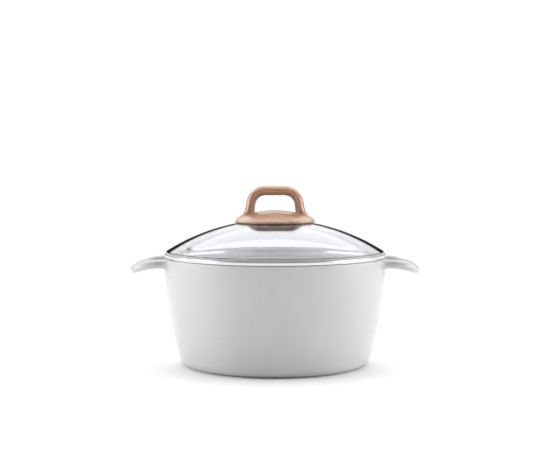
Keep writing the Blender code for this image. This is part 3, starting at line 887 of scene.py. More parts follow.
# ---------------------------------------------------------------------------
# Pot
# ---------------------------------------------------------------------------
@dataclass
class PotCasting:
    """The bowl, cast in one with its two loop handles."""

    taper: float = 0.0190
    side_power: float = 1.85
    side_steps: int = 34
    wall: float = 0.0040
    floor: float = 0.0060
    floor_steps: int = 6
    corner: float = 0.0130
    inner_corner: float = 0.0120
    corner_steps: int = 16
    lip: float = 0.0012
    seat_depth: float = 0.0015
    handle_half_span: float = 0.0338
    handle_turn: float = 0.0240
    turn_steps: int = 26
    handle_width: float = 0.0150
    handle_thick: float = 0.0100
    handle_droop: float = 0.0077
    droop_power: float = 2.1
    tip_grow: float = 0.16
    tip_steps: int = 10
    root_inside: float = 0.0120
    root_outside: float = 0.0100
    root_steps: int = 62
    arm_start: float = 0.0105
    arm_steps: int = 6
    fillet_run: float = 0.0075
    fillet_drop: float = 0.0044
    fillet_side: float = 0.0040
    root_sink: float = 0.0020
    section_power: float = 2.35
    section_points: int = 36
    finish: CeramicCoat = CeramicCoat()

    def __post_init__(self) -> None:
        """Read the main sizes from the CAD nodes."""
        pot = Extent.of("pot_body")
        self.rim_r = pot.radius
        self.height = pot.high.z
        self.reach = pot.high.x - self.rim_r - self.handle_width * (1 + self.tip_grow) / 2
        self.seat_r = Extent.of("induction_base_plate").radius + GAP

    def side_radius(self, z: float | np.ndarray) -> float | np.ndarray:
        """Return the outside radius of the side at height z."""
        return self.rim_r - self.taper * (1.0 - z / self.height) ** self.side_power

    def side_slope(self, z: float) -> float:
        """Return how fast the side's radius grows with height."""
        share = (1.0 - z / self.height) ** (self.side_power - 1.0)
        return self.taper * self.side_power / self.height * share

    def side(self, offset: float, floor_z: float, corner_r: float) -> Outline:
        """Lay the outline down the side and round the corner to the floor.

        Args:
            offset: How far the side is moved inwards.
            floor_z: Height of the flat that the corner runs into.
            corner_r: The corner's radius.

        Returns:
            Points from just under the rim down to the flat.
        """
        tilt = 0.0
        for _ in range(TILT_ROUNDS):
            touch_z = floor_z + corner_r * (1.0 - math.sin(tilt))
            tilt = math.atan(self.side_slope(touch_z))
        centre_r = self.side_radius(touch_z) - offset - corner_r * math.cos(tilt)
        heights = spread(self.height - self.lip, touch_z, self.side_steps)
        side = [(self.side_radius(z) - offset, z) for z in heights]
        turn = arc((centre_r, floor_z + corner_r), corner_r, -math.degrees(tilt), -90.0,
                   self.corner_steps)
        return side + turn[1:]

    def bowl(self) -> Piece:
        """Build the hollow bowl with its rounded lip and the seat for the plate.

        Returns:
            The bowl without its handles.
        """
        lip_z = self.height - self.lip
        inner_r = self.side_radius(lip_z) - self.wall
        outer = self.side(0.0, 0.0, self.corner)
        inner = self.side(self.wall, self.floor, self.inner_corner)
        steps = self.floor_steps
        outline: Outline = [(0.0, self.seat_depth)]
        outline += [(r, self.seat_depth) for r in spread(self.seat_r / steps, self.seat_r, steps)]
        outline += [(self.seat_r, GAP / 2), (self.seat_r + GAP, 0.0)]
        outline += list(reversed(outer))
        outline += arc((self.rim_r - self.lip, lip_z), self.lip, 0.0, 90.0, FINE_STEPS)[1:]
        outline += arc((inner_r + self.lip, lip_z), self.lip, 90.0, 180.0, FINE_STEPS)
        outline += inner[1:]
        inwards = spread(inner[-1][0] * (steps - 1) / steps, 0.0, steps)
        outline += [(r, self.floor) for r in inwards]
        return turned("cast_pot", outline, Detail.POT)

    def handle_plan(self) -> list[Pair]:
        """Lay out the loop's centre line as seen from above, on the +X side.

        Returns:
            Points from one end inside the wall to the other.
        """
        outer_x = self.rim_r + self.reach
        turn_x = outer_x - self.handle_turn
        turn_y = self.handle_half_span - self.handle_turn
        wall_x = math.sqrt(self.rim_r ** 2 - self.handle_half_span ** 2)
        arm = spread(wall_x - self.root_inside, wall_x + self.root_outside, self.root_steps)
        arm += spread(wall_x + self.arm_start, turn_x, self.arm_steps)
        half = [(x, -self.handle_half_span) for x in arm]
        half += arc((turn_x, -turn_y), self.handle_turn, -90.0, 0.0, self.turn_steps)[1:]
        straight = spread(-turn_y, turn_y, self.tip_steps)[1:-1]
        return half + [(outer_x, y) for y in straight] + [(x, -y) for x, y in reversed(half)]

    def handle(self) -> Piece:
        """Build one loop, drooping to its tip and flared where it meets the wall.

        Returns:
            The loop on the +X side.
        """
        plan = np.array(self.handle_plan())
        ways = headings(plan)
        sides = np.stack([ways[:, 1], -ways[:, 0]], axis=1)
        across, up = squarish_hoop(self.section_points, self.section_power).T
        tip = np.clip((plan[:, 0] - self.rim_r) / self.reach, 0.0, 1.0)
        swell = 1.0 + self.tip_grow * tip ** 2
        half_width = swell * self.handle_width / 2
        half_thick = swell * self.handle_thick / 2
        offsets = (half_width[:, None] * across)[:, :, None]
        hoops = np.zeros((len(plan), self.section_points, 3))
        hoops[:, :, :2] = plan[:, None, :] + sides[:, None, :] * offsets
        bend = (hoops[:, :, 0] - self.rim_r) / (self.reach + self.handle_width / 2)
        droop = GAP + self.handle_droop * np.clip(bend, 0.0, None) ** self.droop_power
        hoops[:, :, 2] = self.height - droop + half_thick[:, None] * (up - 1.0)
        self.root_fillet(hoops, plan, up)
        return lofted("handle_loop", hoops)

    def root_fillet(self, hoops: np.ndarray, plan: np.ndarray, up: np.ndarray) -> None:
        """Spread the arms over the wall where they meet it, and end them inside it.

        Args:
            hoops: The loop's points, changed in place.
            plan: The centre line.
            up: Each point's share of the section's height, from -1 to 1.
        """
        arms = np.abs(plan[:, 1]) > self.handle_half_span - WELD
        arm = hoops[arms]
        wall_r = self.side_radius(np.minimum(arm[:, :, 2], self.height))
        away = np.maximum(np.hypot(arm[:, :, 0], arm[:, :, 1]) - wall_r, -self.root_sink)
        near = np.clip(1.0 - away / self.fillet_run, 0.0, 1.0)
        grown = 1.0 - np.sqrt(1.0 - near ** 2)
        outwards = arm[:, :, 1] - plan[arms][:, None, 1]
        share = outwards / (self.handle_width / 2)
        arm[:, :, 1] += self.fillet_side * grown * share
        arm[:, :, 2] -= self.fillet_drop * grown * np.clip(-up, 0.0, 1.0)
        spread_r = self.side_radius(np.minimum(arm[:, :, 2], self.height)) + away
        spread_x = np.sqrt(spread_r ** 2 - arm[:, :, 1] ** 2)
        arm[:, :, 0] = np.where(near > 0.0, spread_x, arm[:, :, 0])
        hoops[arms] = arm

    def build(self) -> Piece:
        """Build, join and dress the casting.

        Returns:
            The pot.
        """
        pot = self.bowl()
        for side in (1.0, -1.0):
            loop = self.handle()
            move_points(loop, points_of(loop) * np.array([side, side, 1.0]))
            join_solid(pot, loop, Joining.UNION)
        tidy(pot)
        return hand_over(pot, self.finish.make(), Body.POT, Slot.COATING, "pot_body")


@dataclass
class BasePlate:
    """The steel plate in the base, with rings of small holes."""

    edge: float = 0.0003
    hole_r: float = 0.0017
    hole_depth: float = 0.0004
    ring_step: float = 0.0082
    rings: int = 9
    hole_sides: int = 16
    finish: BaseSteel = BaseSteel()

    def holes_tree(self) -> bpy.types.GeometryNodeTree:
        """Build the Geometry Nodes tree that stands a peg at each hole's place.

        Ring k has 6k holes, so there are 3k(k + 1) holes in the rings up to it.  A
        hole's ring is found from its number by solving that for k.

        Returns:
            A tree with inputs for the pegs' size and the rings' spacing and count.
        """
        tree = bpy.data.node_groups.new("ring_of_pegs", "GeometryNodeTree")
        inputs = {"Geometry": "Geometry", "Peg Radius": "Float", "Peg Height": "Float",
                  "Ring Step": "Float", "Ring Count": "Int", "Peg Material": "Material"}
        for name, kind in inputs.items():
            tree.interface.new_socket(name, in_out="INPUT", socket_type="NodeSocket" + kind)
        tree.interface.new_socket("Geometry", in_out="OUTPUT", socket_type="NodeSocketGeometry")
        start = tree.nodes.new("NodeGroupInput")
        end = tree.nodes.new("NodeGroupOutput")
        sums = partial(math_node, tree)
        link = tree.links.new

        index = sums("ADD", tree.nodes.new("GeometryNodeInputIndex").outputs["Index"], 1.0)
        root = sums("SQRT", sums("ADD", sums("MULTIPLY", index, 12.0), 9.0))
        exact = sums("DIVIDE", sums("SUBTRACT", root, 3.0), 6.0)
        ring = sums("CEIL", sums("SUBTRACT", exact, 1e-4))
        before = sums("MULTIPLY", sums("MULTIPLY", ring, sums("SUBTRACT", ring, 1.0)), 3.0)
        place = sums("SUBTRACT", index, before)
        turn = sums("DIVIDE", sums("MULTIPLY", place, math.pi / 3), ring)
        radius = sums("MULTIPLY", ring, start.outputs["Ring Step"])
        spot = tree.nodes.new("ShaderNodeCombineXYZ")
        link(sums("MULTIPLY", radius, sums("COSINE", turn)), spot.inputs["X"])
        link(sums("MULTIPLY", radius, sums("SINE", turn)), spot.inputs["Y"])

        count = start.outputs["Ring Count"]
        total = sums("MULTIPLY", sums("MULTIPLY", count, sums("ADD", count, 1.0)), 3.0)
        points = tree.nodes.new("GeometryNodePoints")
        link(total, points.inputs["Count"])
        link(spot.outputs["Vector"], points.inputs["Position"])
        peg = tree.nodes.new("GeometryNodeMeshCylinder")
        peg.inputs["Vertices"].default_value = self.hole_sides
        link(start.outputs["Peg Radius"], peg.inputs["Radius"])
        link(start.outputs["Peg Height"], peg.inputs["Depth"])
        copies = tree.nodes.new("GeometryNodeInstanceOnPoints")
        link(points.outputs["Points"], copies.inputs["Points"])
        link(peg.outputs["Mesh"], copies.inputs["Instance"])
        real = tree.nodes.new("GeometryNodeRealizeInstances")
        link(copies.outputs["Instances"], real.inputs[0])
        dressed = tree.nodes.new("GeometryNodeSetMaterial")
        link(real.outputs[0], dressed.inputs["Geometry"])
        link(start.outputs["Peg Material"], dressed.inputs["Material"])
        link(dressed.outputs["Geometry"], end.inputs["Geometry"])
        return tree

    def pegs(self, steel: Material) -> Piece:
        """Build the pegs that cut the holes.

        Args:
            steel: The plate's material.

        Returns:
            All the pegs as one plain mesh.
        """
        piece = new_piece("hole_pegs", [(0.0, 0.0, 0.0)], [])
        rows = piece.modifiers.new("rings", "NODES")
        rows.node_group = self.holes_tree()
        values = {"Peg Radius": self.hole_r, "Peg Height": 2 * self.hole_depth,
                  "Ring Step": self.ring_step, "Ring Count": self.rings, "Peg Material": steel}
        for item in rows.node_group.interface.items_tree:
            if item.in_out == "INPUT" and item.name in values:
                rows[item.identifier] = values[item.name]
        settle(piece)
        return piece

    def build(self) -> Piece:
        """Build, pierce and dress the plate.

        Returns:
            The plate.
        """
        box = Extent.of("induction_base_plate")
        radius, top = box.radius, box.high.z
        outline: Outline = [(0.0, top), (radius - self.edge, top), (radius, top - self.edge)]
        outline += [(radius, self.edge), (radius - self.edge, 0.0), (0.0, 0.0)]
        plate = turned("pierced_base_plate", outline, Detail.LID)
        steel = self.finish.make()
        plate.data.materials.append(steel)
        join_solid(plate, self.pegs(steel), Joining.DIFFERENCE)
        tidy(plate)
        return hand_over(plate, steel, Body.POT, Slot.BASE_STEEL, "induction_base_plate")


# ---------------------------------------------------------------------------
# Lid
# ---------------------------------------------------------------------------
@dataclass
class GlassLid:
    """The glass dome, its steel band, the seal between them and the steam vent."""

    dome_r: float = 0.2260
    dome_steps: int = 44
    thick: float = 0.0040
    edge_round: float = 0.0009
    lip: float = 0.0012
    hole_r: float = 0.0055
    vent_inset: float = 0.0111
    vent_turn: float = math.radians(214.0)
    vent_bore: float = 0.0016
    vent_tube: float = 0.0024
    vent_flange: float = 0.0040
    vent_sheet: float = 0.0006
    drill_reach: float = 0.0100
    sheet: float = 0.0006
    fold: float = 0.0006
    skirt: float = 0.0065
    skirt_play: float = 0.0006
    seal_bead: float = 0.0004
    glass: ClearGlass = ClearGlass()
    steel: PolishedSteel = PolishedSteel("band_steel", (0.72, 0.72, 0.74), 0.18)
    seal: Rubber = Rubber("seal_silicone", (0.37, 0.365, 0.38), 0.4)
    eyelet: PlainMetal = PlainMetal("eyelet_steel", (0.42, 0.42, 0.45), 0.3)

    def __post_init__(self) -> None:
        """Read the main sizes from the CAD nodes."""
        box = Extent.of("lid_glass")
        self.radius = box.radius
        self.centre_z = box.high.z - math.sqrt(self.dome_r ** 2 - self.hole_r ** 2)
        band = Extent.of("lid_rim_band")
        self.band_r, self.band_top = band.radius, band.high.z
        self.band_base = band.low.z + self.skirt
        self.skirt_r = Extent.of("pot_body").radius - PotCasting.wall - self.skirt_play

    def outer(self, r: float) -> float:
        """Return the height of the glass's upper surface at radius r."""
        return self.centre_z + math.sqrt(self.dome_r ** 2 - r ** 2)

    def inner(self, r: float) -> float:
        """Return the height of the glass's lower surface at radius r."""
        return self.centre_z + math.sqrt((self.dome_r - self.thick) ** 2 - r ** 2)

    def build_glass(self) -> Piece:
        """Build the dome with its two holes.

        Returns:
            The glass.
        """
        edge_r = self.radius - self.lip
        radii = spread(self.hole_r, edge_r - self.edge_round, self.dome_steps)
        corners = [(r, self.outer(r), 0.0) for r in radii]
        corners += [(edge_r, self.outer(edge_r), self.edge_round),
                    (edge_r, self.inner(edge_r), self.edge_round * 0.6)]
        corners += [(r, self.inner(r), 0.0) for r in reversed(radii)]
        dome = turned_ring("dome_glass", corners, Detail.LID, FINE_STEPS)
        drill = plug("vent_drill", self.vent_tube + GAP, -self.drill_reach, self.drill_reach)
        self.stand(drill)
        join_solid(dome, drill, Joining.DIFFERENCE)
        tidy(dome)
        return hand_over(dome, self.glass.make(), Body.LID, Slot.GLASS, "lid_glass")

    def stand(self, piece: Piece) -> None:
        """Stand a piece's own Z axis square on the glass where the vent is.

        Args:
            piece: The piece, whose place goes into its mesh.
        """
        at_r = self.radius - self.vent_inset
        piece.rotation_euler = (0.0, math.asin(at_r / self.dome_r), self.vent_turn)
        piece.location = (at_r * math.cos(self.vent_turn), at_r * math.sin(self.vent_turn),
                          self.outer(at_r))
        bpy.context.view_layer.update()
        piece.data.transform(piece.matrix_world)
        piece.matrix_world.identity()

    def build_vent(self) -> Piece:
        """Build the riveted eyelet, with a rolled flange on each side of the glass.

        Returns:
            The eyelet.
        """
        face = self.vent_sheet + GAP
        below = -self.thick - GAP
        half = self.vent_sheet / 2
        corners = [(self.vent_bore, face, half), (self.vent_flange, face, half * 0.9),
                   (self.vent_flange, GAP, 0.0), (self.vent_tube, GAP, 0.0),
                   (self.vent_tube, below, 0.0), (self.vent_flange, below, 0.0),
                   (self.vent_flange, below - self.vent_sheet, half * 0.9),
                   (self.vent_bore, below - self.vent_sheet, half)]
        vent = turned_ring("vent_eyelet", corners, Detail.SMALL)
        self.stand(vent)
        return hand_over(vent, self.eyelet.make(), Body.LID, Slot.POLISHED, "steam_vent_eyelet")

    def build_band(self) -> Piece:
        """Build the folded band: outer wall, flange on the rim and skirt in the pot.

        Returns:
            The band.
        """
        skirt_z = self.band_base - self.skirt
        floor = self.band_base + self.sheet
        inner = self.band_r - self.sheet
        edge = self.sheet * 0.45
        corners = [(inner, self.band_top, edge), (self.band_r, self.band_top, edge),
                   (self.band_r, self.band_base, self.fold),
                   (self.skirt_r, self.band_base, self.fold * 0.5),
                   (self.skirt_r, skirt_z, edge), (self.skirt_r - self.sheet, skirt_z, edge),
                   (self.skirt_r - self.sheet, floor, self.fold), (inner, floor, self.fold * 0.5)]
        band = turned_ring("rim_band", corners, Detail.LID)
        return hand_over(band, self.steel.make(), Body.LID, Slot.POLISHED, "lid_rim_band")

    def build_seal(self) -> Piece:
        """Build the seal that beds the glass in the band and laps round its edge.

        Returns:
            The seal.
        """
        low_z = self.band_base + self.sheet + GAP
        outer_r = self.radius - GAP
        lap_r = self.radius - self.lip + GAP
        lap_z = self.outer(lap_r)
        bead = self.seal_bead
        corners = [(self.skirt_r, self.inner(self.skirt_r) - GAP, bead),
                   (lap_r, self.inner(lap_r) - GAP, 0.0),
                   (lap_r, lap_z, bead), (outer_r, lap_z - self.lip * 0.7, bead),
                   (outer_r, low_z, bead), (self.skirt_r, low_z, bead)]
        seal = turned_ring("lid_seal", corners, Detail.LID)
        return hand_over(seal, self.seal.make(), Body.LID, Slot.PALE_SILICONE, "glass_seal")

    def build(self) -> list[Piece]:
        """Build every piece of the lid but its knob."""
        return [self.build_glass(), self.build_vent(), self.build_band(), self.build_seal()]


# ---------------------------------------------------------------------------
# Knob
# ---------------------------------------------------------------------------
@dataclass
class Knob:
    """The moulded knob: a domed base that flows into a bridge."""

    lid: GlassLid
    dome_power: float = 2.3
    dome_steps: int = 26
    seat_steps: int = 12
    hollow_steps: int = 16
    edge: float = 0.0023
    seat: float = 0.0003
    wall: float = 0.0040
    rim_width: float = 0.0045
    thick: float = 0.0110
    depth: float = 0.0200
    leg_inset: float = 0.0183
    turn_r: float = 0.0160
    lean: float = math.radians(10.0)
    flat_steps: int = 8
    turn_steps: int = 18
    leg_steps: int = 30
    foot_sink: float = 0.0025
    flare_height: float = 0.0120
    flare_out: float = 0.0027
    flare_grow: float = 1.05
    flare_depth: float = 0.35
    boss_r: float = 0.0087
    insert_cover: float = 0.0023
    section_power: float = 2.25
    section_points: int = 48
    voxel: float = 0.00062
    ease_rounds: int = 12
    ease_share: float = 0.5
    grain_start: float = 0.0005
    grain_blend: float = 0.0060
    finish: WoodEffect = WoodEffect()

    def __post_init__(self) -> None:
        """Read the main sizes from the CAD nodes."""
        box = Extent.of("lid_knob")
        self.radius = box.radius
        self.top_z = box.high.z
        self.edge_z = self.lid.outer(self.radius) + self.seat
        self.foot_z = self.edge_z + self.foot_sink
        self.insert = Extent.of("knob_insert")
        self.crown_z = self.insert.high.z + self.insert_cover

    def dome(self, r: float | np.ndarray) -> float | np.ndarray:
        """Return the height of the base's upper surface at radius r."""
        fall = self.crown_z - self.edge_z - self.edge
        return self.crown_z - fall * (np.abs(r) / self.radius) ** self.dome_power

    def base(self) -> Piece:
        """Build the base, before it is hollowed.

        Returns:
            The solid base.
        """
        upper = spread(0.0, self.radius - self.edge * 0.8, self.dome_steps)
        lower = spread(self.radius - self.edge * 0.5, 0.0, self.seat_steps)
        corners = [(r, float(self.dome(r)), 0.0) for r in upper]
        corners += [(self.radius, self.edge_z + self.edge, self.edge * 0.55),
                    (self.radius, self.edge_z, self.edge * 0.3)]
        corners += [(r, self.lid.outer(r) + self.seat, 0.0) for r in lower]
        return turned("wood_knob", rounded(corners, FINE_STEPS), Detail.KNOB)

    def bridge_line(self) -> np.ndarray:
        """Lay out the bridge's centre line.

        Returns:
            Points as (x, z) pairs, from foot to foot.
        """
        top_z = self.top_z - self.thick / 2
        half_flat = self.radius - self.leg_inset - self.turn_r * math.cos(self.lean)
        turn = arc((half_flat, top_z - self.turn_r), self.turn_r, 90.0, math.degrees(self.lean),
                   self.turn_steps)
        head_x, head_z = turn[-1]
        leg = [(head_x + (head_z - z) * math.tan(self.lean), z)
               for z in spread(head_z, self.foot_z, self.leg_steps)[1:]]
        flat = [(x, top_z) for x in spread(0.0, half_flat, self.flat_steps)[:-1]]
        half = flat + turn + leg
        return np.array([(-x, z) for x, z in reversed(half[1:])] + half)

    def bridge(self) -> Piece:
        """Build the bridge, with its feet flared outwards.

        Returns:
            The solid bridge.
        """
        line = self.bridge_line()
        ways = headings(line)
        normals = np.stack([-ways[:, 1], ways[:, 0]], axis=1)
        across, up = squarish_hoop(self.section_points, self.section_power).T
        rise = (self.foot_z + self.flare_height - line[:, 1]) / self.flare_height
        share = np.clip(rise, 0.0, 1.0) ** 2
        thick = self.thick / 2 * (1.0 + self.flare_grow * share)
        depth = self.depth / 2 * (1.0 + self.flare_depth * share)
        shifted = line[:, 0] + np.sign(line[:, 0]) * self.flare_out * share
        hoops = np.zeros((len(line), self.section_points, 3))
        hoops[:, :, 0] = shifted[:, None] + normals[:, 0, None] * thick[:, None] * up
        hoops[:, :, 1] = depth[:, None] * across
        hoops[:, :, 2] = line[:, 1, None] + normals[:, 1, None] * thick[:, None] * up
        return lofted("bridge_shape", hoops)

    def blend_shapes(self, knob: Piece) -> None:
        """Skin base and bridge as one and ease the creases between them.

        Args:
            knob: The joined solid.
        """
        remesh = knob.modifiers.new("skin", "REMESH")
        remesh.mode = "VOXEL"
        remesh.voxel_size = self.voxel
        remesh.use_smooth_shade = True
        ease = knob.modifiers.new("ease", "SMOOTH")
        ease.factor = self.ease_share
        ease.iterations = self.ease_rounds
        settle(knob)

    def hollow(self) -> Piece:
        """Build the solid that is cut out from below, round the boss.

        Returns:
            The cutting solid.
        """
        hollow_r = self.radius - self.rim_width
        base_z = self.insert.low.z - GAP
        below = self.lid.outer(hollow_r) - self.wall
        outline: Outline = [(0.0, base_z), (self.boss_r, base_z)]
        radii = spread(self.boss_r, hollow_r, self.hollow_steps)
        outline += [(r, float(self.dome(r)) - self.wall) for r in radii]
        outline += [(hollow_r, below), (0.0, below)]
        return turned("hollow_shape", outline, Detail.KNOB)

    def socket(self) -> Piece:
        """Build the solid that cuts the insert's socket."""
        low, high = self.insert.low.z - 2 * GAP, self.insert.high.z + GAP
        return plug("socket_shape", self.insert.radius + GAP, low, high)

    def store_grain(self, knob: Piece) -> None:
        """Store coordinates that follow the bridge, for the grain to run along.

        Args:
            knob: The finished mesh, which gets the attribute.
        """
        places = points_of(knob)
        line = self.bridge_line()
        steps = np.linalg.norm(np.diff(line, axis=0), axis=1)
        along = np.concatenate([[0.0], np.cumsum(steps)])
        along -= along[-1] / 2
        flat = places[:, [0, 2]]
        blocks = np.array_split(flat, len(flat) // POINT_BLOCK + 1)
        nearest = np.concatenate([
            np.argmin(((block[:, None, :] - line[None, :, :]) ** 2).sum(axis=2), axis=1)
            for block in blocks])
        offset = flat - line[nearest]
        way = headings(line)[nearest]
        run = along[nearest] + (offset * way).sum(axis=1)
        # This signed offset, negative on the bridge's inner side, also places the wood's painted
        # shade.
        off = offset[:, 1] * way[:, 0] - offset[:, 0] * way[:, 1]
        bridge = np.stack([run, places[:, 1], off], axis=1)
        height = places[:, 2] - self.dome(np.hypot(places[:, 0], places[:, 1]))
        share = smooth_step((height - self.grain_start) / self.grain_blend)[:, None]
        grain = places * (1.0 - share) + bridge * share
        stored = knob.data.attributes.new(self.finish.grain_attribute, "FLOAT_VECTOR", "POINT")
        stored.data.foreach_set("vector", grain.astype(np.float32).ravel())

    def build(self) -> Piece:
        """Build, hollow and dress the knob.

        Returns:
            The knob.
        """
        knob = self.base()
        join_solid(knob, self.bridge(), Joining.UNION)
        self.blend_shapes(knob)
        join_solid(knob, self.hollow(), Joining.DIFFERENCE)
        join_solid(knob, self.socket(), Joining.DIFFERENCE)
        tidy(knob)
        self.store_grain(knob)
        return hand_over(knob, self.finish.make(), Body.LID, Slot.WOOD, "lid_knob")


@dataclass
class Fastening:
    """What holds the knob: gaskets, pressed dish, washer, screw and insert."""

    lid: GlassLid
    screw_r: float = 0.0025
    play: float = 0.0005
    bead: float = 0.0003
    dish_sheet: float = 0.0008
    dish_flange: float = 0.0050
    dish_taper: float = 0.0045
    well_r: float = 0.0068
    well_depth: float = 0.0042
    well_taper: float = 0.0010
    gasket_width: float = 0.0080
    gasket_steps: int = 6
    upper_rubber: Rubber = Rubber("gasket_silicone", (0.055, 0.055, 0.060), 0.55)
    lower_rubber: Rubber = Rubber("dish_silicone", (0.070, 0.075, 0.095), 0.5)
    dish_steel: PolishedSteel = PolishedSteel("dish_steel", (0.38, 0.385, 0.41), 0.2)
    kept_nodes: tuple[tuple[str, PlainMetal], ...] = (
        ("knob_insert", PlainMetal("insert_brass", (0.72, 0.52, 0.22), 0.3)),
        ("spring_washer", PlainMetal("washer_steel", (0.48, 0.48, 0.50), 0.35)),
        ("knob_screw", PlainMetal("screw_steel", (0.56, 0.56, 0.58), 0.28)))

    def build_upper_gasket(self) -> Piece:
        """Build the washer between the boss and the glass.

        Returns:
            The washer.
        """
        box = Extent.of("upper_gasket")
        high, low, hole = box.high.z, box.low.z, self.screw_r + self.play
        corners = [(r, z, self.bead) for r, z in
                   ((hole, high), (box.radius, high), (box.radius, low), (hole, low))]
        gasket = turned_ring("boss_gasket", corners, Detail.SMALL)
        return hand_over(gasket, self.upper_rubber.make(), Body.LID, Slot.SILICONE, "upper_gasket")

    def build_lower_gasket(self) -> Piece:
        """Build the ring between the glass and the dish.

        Returns:
            The ring.
        """
        box = Extent.of("lower_gasket")
        inner_r = box.radius - self.gasket_width
        radii = spread(inner_r, box.radius, self.gasket_steps)
        corners = [(r, self.lid.inner(r) - 2 * GAP, 0.0) for r in radii]
        corners += [(box.radius, box.low.z, self.bead), (inner_r, box.low.z, self.bead)]
        gasket = turned_ring("dish_gasket", corners, Detail.KNOB)
        return hand_over(gasket, self.lower_rubber.make(), Body.LID, Slot.SILICONE, "lower_gasket")

    def build_dish(self) -> Piece:
        """Build the pressed dish, with a well in its floor that hides the screw's head.

        Returns:
            The dish.
        """
        box = Extent.of("retaining_plate")
        sheet, bend = self.dish_sheet, 2 * self.dish_sheet
        top_r, top_z = box.radius - self.dish_flange, box.high.z
        floor_r, floor_z = top_r - self.dish_taper, box.low.z
        mouth_r, well_z = self.well_r + self.well_taper, floor_z + self.well_depth
        hole = self.screw_r + self.play
        corners = [(top_r - sheet * 0.4, top_z, bend), (box.radius, top_z, sheet * 0.4),
                   (box.radius, top_z - sheet, sheet * 0.4),
                   (top_r + sheet * 0.3, top_z - sheet, bend * 0.6),
                   (floor_r, floor_z, bend), (mouth_r, floor_z, sheet),
                   (self.well_r, well_z, sheet * 0.5), (hole, well_z, 0.0),
                   (hole, well_z + sheet, 0.0), (self.well_r + sheet, well_z + sheet, sheet),
                   (mouth_r + sheet, floor_z + sheet, sheet * 0.5),
                   (floor_r - sheet * 0.6, floor_z + sheet, bend * 0.6)]
        dish = turned_ring("pressed_dish", corners, Detail.KNOB)
        return hand_over(dish, self.dish_steel.make(), Body.LID, Slot.POLISHED, "retaining_plate")

    def build(self) -> list[Piece]:
        """Build the fastening's pieces and dress the CAD nodes that keep their shape.

        Returns:
            The new pieces.
        """
        pieces = [self.build_upper_gasket(), self.build_lower_gasket(), self.build_dish()]
        for node, metal in self.kept_nodes:
            coat(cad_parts[node], metal.make())
            log.info("%s: CAD node with %s", node, metal.name)
        return pieces


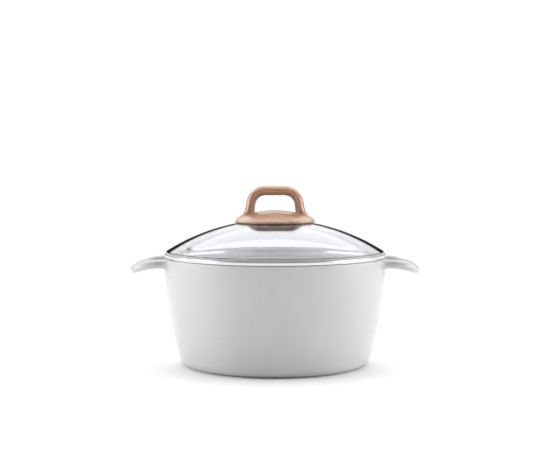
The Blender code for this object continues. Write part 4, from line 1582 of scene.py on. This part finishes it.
# ---------------------------------------------------------------------------
# Studio
# ---------------------------------------------------------------------------
@dataclass
class Studio:
    """A pale floor, soft light from above and both sides, and the camera."""

    floor_radius: float = 9.0
    floor_rings: int = 10
    floor_sides: int = 64
    floor_colour: Colour = (0.97, 0.97, 0.97)
    camera_place: tuple[float, float, float] = (0.0, -1.347, 0.2264)
    camera_pitch: float = math.radians(3.0)
    lens: float = 78.6
    sensor: float = 36.0
    top_light: float = 2.0
    top_lean: Pair = (0.35, 0.937)
    top_edge: Pair = (0.68, 0.76)
    back_light: float = 1.3
    back_heights: Pair = (0.225, 0.27)
    back_depths: Pair = (0.0, 0.2)
    side_light: float = 7.0
    side_reach: Pair = (0.84, 0.93)
    side_heights: Pair = (-0.02, 0.12)
    front_light: float = 0.10
    front_depths: Pair = (-0.2, -0.6)
    card_light: float = 0.88
    card_edge: Pair = (0.985, 0.990)
    dark: float = 0.03
    backdrop: float = 1.05

    def build_floor(self) -> None:
        """Lay the floor, a flat round sheet in rings."""
        sides = self.floor_sides
        turns = [2 * math.pi * i / sides for i in range(sides)]
        vertices = [(0.0, 0.0, 0.0)]
        for r in spread(0.0, self.floor_radius, self.floor_rings + 1)[1:]:
            vertices += [(r * math.cos(a), r * math.sin(a), 0.0) for a in turns]
        faces: list[tuple[int, ...]] = []
        for i in range(sides):
            j = (i + 1) % sides
            faces.append((0, 1 + i, 1 + j))
            faces += [(a + i, a + sides + i, a + sides + j, a + j)
                      for a in range(1, len(vertices) - sides, sides)]
        mesh = bpy.data.meshes.new("pale_floor")
        mesh.from_pydata(vertices, [], faces)
        floor = bpy.data.objects.new("pale_floor", mesh)
        bpy.context.scene.collection.objects.link(floor)
        graph = Graph("pale_floor")
        tone = graph.noise(graph.place(), 6.0, 3.0)
        graph.dress(graph.two_tone(tone, shaded(self.floor_colour, 0.985), self.floor_colour))
        graph.fixed(Roughness=0.9, Specular_IOR_Level=0.1)
        coat(floor, graph.material)

    def build_light(self) -> None:
        """Light the scene from the sky: a soft top, two side panels and a pale back."""
        world = bpy.data.worlds.new("soft_studio")
        bpy.context.scene.world = world
        world.use_nodes = True
        tree = world.node_tree
        sums = partial(math_node, tree)

        def window(value: Socket, edge: Pair) -> Socket:
            """Make a soft step.

            Args:
                value: What it depends on.
                edge: Where it starts to rise from 0, and where it reaches 1.

            Returns:
                The step.
            """
            node = tree.nodes.new("ShaderNodeMapRange")
            node.interpolation_type = "SMOOTHSTEP"
            node.inputs["From Min"].default_value, node.inputs["From Max"].default_value = edge
            tree.links.new(value, node.inputs["Value"])
            return node.outputs["Result"]

        way = tree.nodes.new("ShaderNodeTexCoord")
        axes = tree.nodes.new("ShaderNodeSeparateXYZ")
        tree.links.new(way.outputs["Generated"], axes.inputs[0])
        x, y, z = (axes.outputs[k] for k in "XYZ")
        lean_y, lean_z = self.top_lean
        above = sums("ADD", sums("MULTIPLY", y, lean_y), sums("MULTIPLY", z, lean_z))
        back = sums("MULTIPLY", window(z, self.back_heights), window(y, self.back_depths))
        flank = window(sums("ABSOLUTE", x), self.side_reach)
        panels = ((window(above, self.top_edge), self.top_light), (back, self.back_light),
                  (sums("MULTIPLY", flank, window(z, self.side_heights)), self.side_light),
                  (window(y, self.card_edge), self.card_light))
        total = 0.0
        for panel, strength in panels:
            total = sums("MAXIMUM", total, sums("MULTIPLY", panel, strength))
        ahead = sums("MULTIPLY", window(y, self.front_depths), self.front_light)
        total = sums("ADD", total, sums("ADD", ahead, self.dark))
        seen = tree.nodes.new("ShaderNodeLightPath").outputs["Is Camera Ray"]
        lit = sums("MULTIPLY", sums("SUBTRACT", 1.0, seen), total)
        strength = sums("ADD", lit, sums("MULTIPLY", seen, self.backdrop))
        shine = tree.nodes["Background"].inputs
        shine["Color"].default_value = (1.0, 1.0, 1.0, 1.0)
        tree.links.new(strength, shine["Strength"])

    def build_camera(self) -> None:
        """Set the camera up a little above the lid, tipped down."""
        lens = bpy.data.cameras.new("camera")
        lens.lens = self.lens
        lens.sensor_width = self.sensor
        lens.sensor_fit = "HORIZONTAL"
        camera = bpy.data.objects.new("camera", lens)
        bpy.context.scene.collection.objects.link(camera)
        camera.location = self.camera_place
        camera.rotation_euler = (math.pi / 2 - self.camera_pitch, 0.0, 0.0)
        bpy.context.scene.camera = camera

    def build(self) -> None:
        """Build floor, light and camera, and show colours as they are."""
        self.build_floor()
        self.build_light()
        self.build_camera()
        bpy.context.scene.view_settings.view_transform = "Standard"
        bpy.context.scene.view_settings.look = "None"


def main() -> None:
    """Build every sub-assembly in order."""
    logging.basicConfig(level=logging.INFO, format="%(name)s: %(message)s")
    Studio().build()
    PotCasting().build()
    BasePlate().build()
    lid = GlassLid()
    lid.build()
    Knob(lid).build()
    Fastening(lid).build()


if __name__ == "__main__":
    main()
